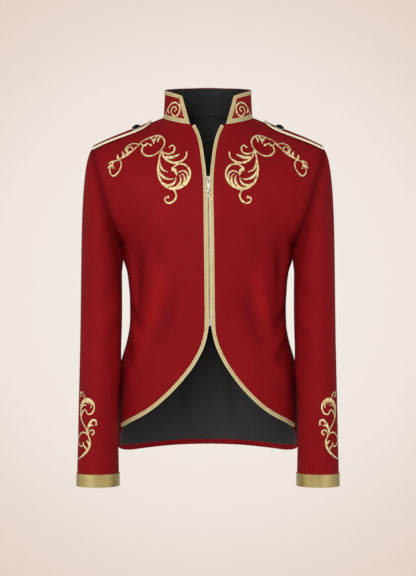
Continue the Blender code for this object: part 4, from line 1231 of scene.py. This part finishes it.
SLEEVE_STEMS = (
    ((1.3, 2.0, 1.5, 1.9), ((222, -523), (225.5, -515), (230, -510.5), (233, -514), (230, -518.5))),
    ((3.0, 3.8, 2.0, 1.9), ((229.5, -560), (231.5, -547), (231, -535), (225.5, -525),
        (216.5, -521.5), (208, -527.5), (205.5, -538), (209.5, -547), (216.5, -549),
        (220, -543.5))),
    ((1.6, 2.2, 3.2, 0.0), ((217, -584), (220.5, -575), (225.5, -567), (229.5, -559),
        (231, -550))),
    ((1.8, 4.4, 2.0, 2.0), ((217, -585), (217, -575), (213, -565), (207, -558.5), (202, -561),
        (201.5, -567))),
    ((1.4, 2.6, 1.7, 2.0), ((216.5, -586), (213, -578.5), (207.5, -577), (205, -581.5),
        (208, -585))),
    ((1.5, 2.5, 1.8, 2.0), ((217, -585), (225.5, -582), (233, -588), (236, -597.5), (233, -606),
        (227.5, -607.5), (225, -601.5))),
    ((1.6, 4.6, 1.4, 0.0), ((217, -585), (213, -594), (213, -605), (218.5, -615.5),
        (226.5, -624), (235.5, -632))),
    ((1.4, 4.0, 0.9, 0.0), ((231, -546), (229.5, -538), (225, -533), (219.5, -533))),
    ((1.4, 4.2, 0.9, 0.0), ((230.5, -536), (226.5, -529), (220.5, -526.5), (214.5, -530))),
    ((1.4, 4.2, 0.9, 0.0), ((223, -525), (215, -524.5), (210.5, -530), (211.5, -537.5))),
    ((1.4, 4.0, 0.9, 0.0), ((229.5, -558), (229, -549.5), (225.5, -543.5), (221, -540.5))),
    ((1.2, 3.6, 0.9, 0.0), ((216, -574), (212, -568.5), (206, -569))),
    ((1.2, 3.8, 0.9, 0.0), ((213.5, -606), (215.5, -600), (219.5, -596))),
    ((1.2, 3.8, 0.9, 0.0), ((218, -615), (221, -609), (225.5, -605))),
)

embroider("embroidery_sleeves", sleeves.values(), SLEEVE_STEMS)


# The collar embroidery
# A small oval scroll and a short tendril near each front end of the collar, between the bands of
# braid, in the same gold satin stitch.

COLLAR_STEMS = (
    ((1.6, 3.4, 1.8, 2.0), ((79, -3), (76.5, 6), (72, 14.5), (64.5, 20.5), (56.5, 18.5),
        (51.5, 10.5), (53, 1), (58.5, -5), (64.5, -2), (67.5, 5), (65.5, 11.5), (60.5, 12.5),
        (58, 8), (61, 4.5))),
    ((1.4, 2.2, 1.4, 1.6), ((53.5, 15), (50, 16.5), (48.5, 20.5))),
)
COLLAR_LEAVES = (
    ((3.8, 1.2), (73.0, 12.0), (71.0, 2.0)),
)

embroider("embroidery_collar", [collar], COLLAR_STEMS, COLLAR_LEAVES)


# The stitching
# Rows of short machine stitches along every edge of the trim, gold on the gold satin and red on
# the cloth. Each stitch dips into the cloth at both ends.

STITCH_PITCH = 0.0030
STITCH_LENGTH = 0.0024
STITCH_WIDTH = 0.00045
STITCH_SIDES = 5
THREAD_TWIST = 0.0006
STITCH_SINKS = 0.62  # a part of a stitch that is thinner than this share lies under the face
STITCH_SHAPE = np.array([
    # share of the length, share of the width
    (0.00, 0.5),
    (0.18, 0.9),
    (0.50, 1.0),
    (0.82, 0.9),
    (1.00, 0.5),
])
# Each row runs at a distance inside the edge of what it sews down.
BINDING_INSET = 0.0009
CUFF_INSET = 0.0014
BRAID_INSET = 0.0009
HEM_INSET = 0.0012
STRAP_INSET = 0.0022
# An edge is felt for at one place after another, towards what is sewn down.
ACROSS_EDGE = np.linspace(-0.0108, 0.0110, 110)
FROM_MIDDLE = np.arange(0, 0.0450, 0.0003)
FROM_BESIDE = np.arange(-0.0300, 0, 0.0003)
AFT = np.array([0.0, 1.0, 0.0])
UP = np.array([0.0, 0.0, 1.0])

WRIST_MIDDLE = (0.202, -0.057)  # distance from the middle plane and y
WRIST_START = 0.100  # from there out to where the rays start
WRIST_STEPS = 120
NECK_START = 0.200
NECK_FAR = 0.160  # a ray stops short of the far side of the collar
NECK_STEPS = 200
BRAID_TURN = 0.66  # the turn from the front at which the rows on the braid begin
BRAID_MIDDLE = (0.0100, 0.0280)  # the height midway up the collar, in front and behind
HEM_ROW = (0.148, -0.628)  # half its length, and a height close to its edge
HEM_STEPS = 160
STRAP_ROW = (0.212, 0.114)  # distances from the middle plane
STRAP_MIDDLE = (0.002, 0.100)  # y, and a height above it
STRAP_STEPS = 80
STRAP_TOP = -0.5  # only faces that look up this much against the ray are a strap's top

BINDING_ROUTE = (
    # distance from the middle plane and z, down the middle of the binding
    (0.0270, -0.0290), (0.0212, -0.0400), (0.0160, -0.0530), (0.0130, -0.0680),
    (0.0105, -0.0850), (0.0080, -0.1050), (0.0068, -0.1250), (0.0063, -0.1600),
    (0.0063, -0.2500), (0.0063, -0.3500), (0.0064, -0.3880), (0.0085, -0.4030),
    (0.0150, -0.4240), (0.0250, -0.4440), (0.0375, -0.4650), (0.0545, -0.4865),
    (0.0740, -0.5080), (0.0985, -0.5300), (0.1200, -0.5470),
)


def felt_edge(tree, start, way, towards, reaches, inset, far=2 * AHEAD, facing=0.0):
    """A place just inside an edge, and the way out of the piece there.

    Rays along the way start from one place after another, until one meets the piece. The stitch
    lies further on by the inset.
    """
    way = Vector(way)
    for reach in reaches:
        place, out, _, _ = tree.ray_cast(Vector(start + towards * reach), way, far)
        if place is not None and out.dot(way) < facing:
            place, out, _, _ = tree.ray_cast(Vector(start + towards * (reach + inset)), way, far)
            return None if place is None else (place, out)
    return None


def sewing_thread(name, gloss, roughness, deep, bright):
    """Twisted sewing thread, a little brighter than what it sews."""
    finish = Finish(name, {"Specular IOR Level": gloss})
    twist = finish.wave(finish.place(), THREAD_TWIST, "DIAGONAL", 0.4)
    finish.colour(twist, deep, bright)
    finish.set("Roughness", roughness + twist * 0.15)
    return finish.material


RED_THREAD = sewing_thread("red_thread", 0.3, 0.45, (0.150, 0.003, 0.006), (0.330, 0.010, 0.016))
YELLOW_THREAD = sewing_thread(
    "yellow_thread", 0.4, 0.40, (0.330, 0.220, 0.070), (0.640, 0.480, 0.220)
)


def level_way(turn):
    """The level way out at a turn from the front, in radians."""
    return np.array([math.sin(turn), -math.cos(turn), 0.0])


def sew(work, stations):
    """A row of stitches along a line of places on a piece, each with the way out of it."""
    felt = [station for station in stations if station]
    places, ways = (np.array(column) for column in zip(*felt))
    fine, outs, reached = evenly(places, ways, STITCH_LENGTH / 3)
    shares, sizes = STITCH_SHAPE.T
    for start in np.arange(0, reached[-1] - STITCH_LENGTH, STITCH_PITCH):
        marks = start + STITCH_LENGTH * shares
        middle = np.array([np.interp(marks, reached, column) for column in fine.T]).T
        out = unit(np.array([np.interp(marks, reached, column) for column in outs.T]).T)
        along = unit(middle[-1] - middle[0])
        rings, maps = [], []
        for place, way, size in zip(middle, out, sizes):
            aside = unit(np.cross(along, way))
            half = STITCH_WIDTH / 2 * size
            rise = (size - STITCH_SINKS) * STITCH_WIDTH
            ring = [
                place + way * rise + aside * half * math.cos(a) + way * half * math.sin(a)
                for a in np.linspace(0, 2 * math.pi, STITCH_SIDES, endpoint=False)
            ]
            rings.append(ring)
            maps.append([(0, 0)] * STITCH_SIDES)
        work.ring_strip(rings, maps)


def sew_inside(work, piece, rays, reaches, inset, **limits):
    """A row of stitches just inside an edge of a piece, felt for from the start of each ray."""
    tree = tree_of([piece])
    sew(work, [felt_edge(tree, *ray, reaches, inset, **limits) for ray in rays])


def stitched(name, work, material):
    """Finishes the rows of one thread."""
    piece = work.finished(name)
    piece.data.materials.append(material)
    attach(piece, "jacket")


gold_rows = Needlework()
red_rows = Needlework()
binding_line = smooth_line(BINDING_ROUTE)
binding_runs = unit(np.gradient(binding_line, axis=0))

for side, flip in SIDES.items():
    rays = []
    for (across, height), (run, fall) in zip(binding_line, binding_runs):
        start = np.array([flip * across, -AHEAD, height])
        rays.append((start, AFT, np.array([flip * fall, 0, -run])))
    sew_inside(gold_rows, bindings[side], rays, ACROSS_EDGE, BINDING_INSET)

    outs = [level_way(turn) for turn in np.linspace(0, 2 * math.pi, WRIST_STEPS)]
    for edge, towards in ((CUFF_TOP, -UP), (CUFF_END, UP)):
        middle = np.array([flip * WRIST_MIDDLE[0], WRIST_MIDDLE[1], edge])
        rays = [(middle + out * WRIST_START, -out, towards) for out in outs]
        sew_inside(gold_rows, cuffs[side], rays, ACROSS_EDGE, CUFF_INSET)

for towards in (UP, -UP):
    rays = []
    for turn in np.linspace(BRAID_TURN, 2 * math.pi - BRAID_TURN, NECK_STEPS):
        out = level_way(turn)
        height = np.interp((1 - math.cos(turn)) / 2, (0, 1), BRAID_MIDDLE)
        rays.append((out * NECK_START + UP * height, -out, towards))
    sew_inside(gold_rows, collar_braid, rays, FROM_MIDDLE, BRAID_INSET, far=NECK_FAR)

rays = []
for across in np.linspace(-HEM_ROW[0], HEM_ROW[0], HEM_STEPS):
    rays.append((np.array([across, 0, HEM_ROW[1]]), AFT, -UP))
sew_inside(red_rows, back_hem, rays, ACROSS_EDGE, HEM_INSET)

for side, flip in SIDES.items():
    for towards in (-AFT, AFT):
        rays = []
        for across in np.linspace(*STRAP_ROW, STRAP_STEPS):
            rays.append((np.array([flip * across, *STRAP_MIDDLE]), -UP, towards))
        sew_inside(red_rows, straps[side], rays, FROM_BESIDE, STRAP_INSET, facing=STRAP_TOP)

stitched("stitches_gold", gold_rows, YELLOW_THREAD)
stitched("stitches_red", red_rows, RED_THREAD)


# The floor and the light
# A pale round floor well below the hem, and plain soft studio light: a broad lamp in front, one on
# each side, a weaker one behind, and a pale surround that is dimmer overhead.

FLOOR_HEIGHT = -1.050
FLOOR_RADIUS = 0.750
FLOOR_THICKNESS = 0.020
FLOOR_DEEP, FLOOR_BRIGHT = (0.70, 0.62, 0.55), (0.80, 0.72, 0.65)

bpy.ops.object.select_all(action="DESELECT")
bpy.ops.mesh.primitive_cylinder_add(
    vertices=128,
    radius=FLOOR_RADIUS,
    depth=FLOOR_THICKNESS,
    location=(0, 0, FLOOR_HEIGHT - FLOOR_THICKNESS / 2),
)
floor = bpy.context.object
floor.name = "pale_floor"
rim = floor.modifiers.new("rim", "BEVEL")
rim.width = FLOOR_THICKNESS / 4
rim.segments = 3
bpy.ops.object.modifier_apply(modifier=rim.name)
bpy.ops.object.shade_smooth_by_angle(angle=SHARP)
matte = Finish("pale_matte", {"Roughness": 0.9})
speck = matte.noise(matte.place(), 30.0, 3.0)
matte.colour(speck, FLOOR_DEEP, FLOOR_BRIGHT)
floor.data.materials.append(matte.material)

LAMPS = (
    # name, place, size, power
    ("key", (-0.40, -2.00, 0.05), 1.2, 21.5),
    ("fill_left", (2.20, -1.60, 0.00), 1.4, 11.0),
    ("fill_right", (-2.20, -1.60, 0.00), 1.4, 11.0),
    ("behind", (0.30, 2.40, 1.20), 1.6, 9.0),
)
for name, place, size, power in LAMPS:
    bpy.ops.object.light_add(type="AREA", location=place)
    lamp = bpy.context.object
    lamp.name = name
    lamp.data.shape = "DISK"
    lamp.data.size = size
    lamp.data.energy = power
    lamp.visible_camera = False
    lamp.visible_glossy = name != "behind"
    aim = Vector((0, 0, VIEW_HEIGHT)) - Vector(place)
    lamp.rotation_euler = aim.to_track_quat("-Z", "Y").to_euler()

# The surround seen straight on is painted as a pool of light: palest in the middle of the view, darker
# towards its edges and behind.
SURROUND = (
    # distance from the middle of the view over the distance ahead, colour
    (0.000, (0.905, 0.870, 0.835)),
    (0.163, (0.860, 0.790, 0.730)),
    (0.226, (0.815, 0.705, 0.635)),
    (0.278, (0.775, 0.645, 0.560)),
)
GLOW_LEVEL, GLOW_ABOVE = (1.0, 0.97, 0.94), (0.40, 0.39, 0.38)  # its light from the side and overhead
GLOW_STRENGTH = 0.56
ALMOST_ASIDE = 0.2  # less far ahead than this, the surround's colour changes no faster

world = bpy.data.worlds.new("surround")
world.use_nodes = True
world.node_tree.nodes.clear()
bpy.context.scene.world = world
air = Graph(world.node_tree)
way = air.node("ShaderNodeTexCoord", {}, {}, "Generated")
aside, ahead, above = (air.part(way, letter) for letter in "XYZ")
behind = 0 - ahead
spread = (aside * aside + above * above) ** 0.5 / ahead.maths("MAXIMUM", ahead, ALMOST_ASIDE)
spread = spread + behind.maths("MAXIMUM", behind, 0.0)
colour = SURROUND[0][1]
for (start, _), (end, next_colour) in zip(SURROUND, SURROUND[1:]):
    colour = air.mix((spread - start) / (end - start), colour, next_colour)
# the painted pool of light, seen only by the camera
seen = air.node("ShaderNodeBackground", {}, {"Color": colour})
dimmer = air.mix(above, GLOW_LEVEL, GLOW_ABOVE)
glow = air.node("ShaderNodeBackground", {}, {"Color": dimmer, "Strength": GLOW_STRENGTH})
straight = air.node("ShaderNodeLightPath", {}, {}, "Is Camera Ray")
either = air.node("ShaderNodeMixShader", {}, {0: straight, 1: glow, 2: seen})
air.node("ShaderNodeOutputWorld", {}, {"Surface": either})
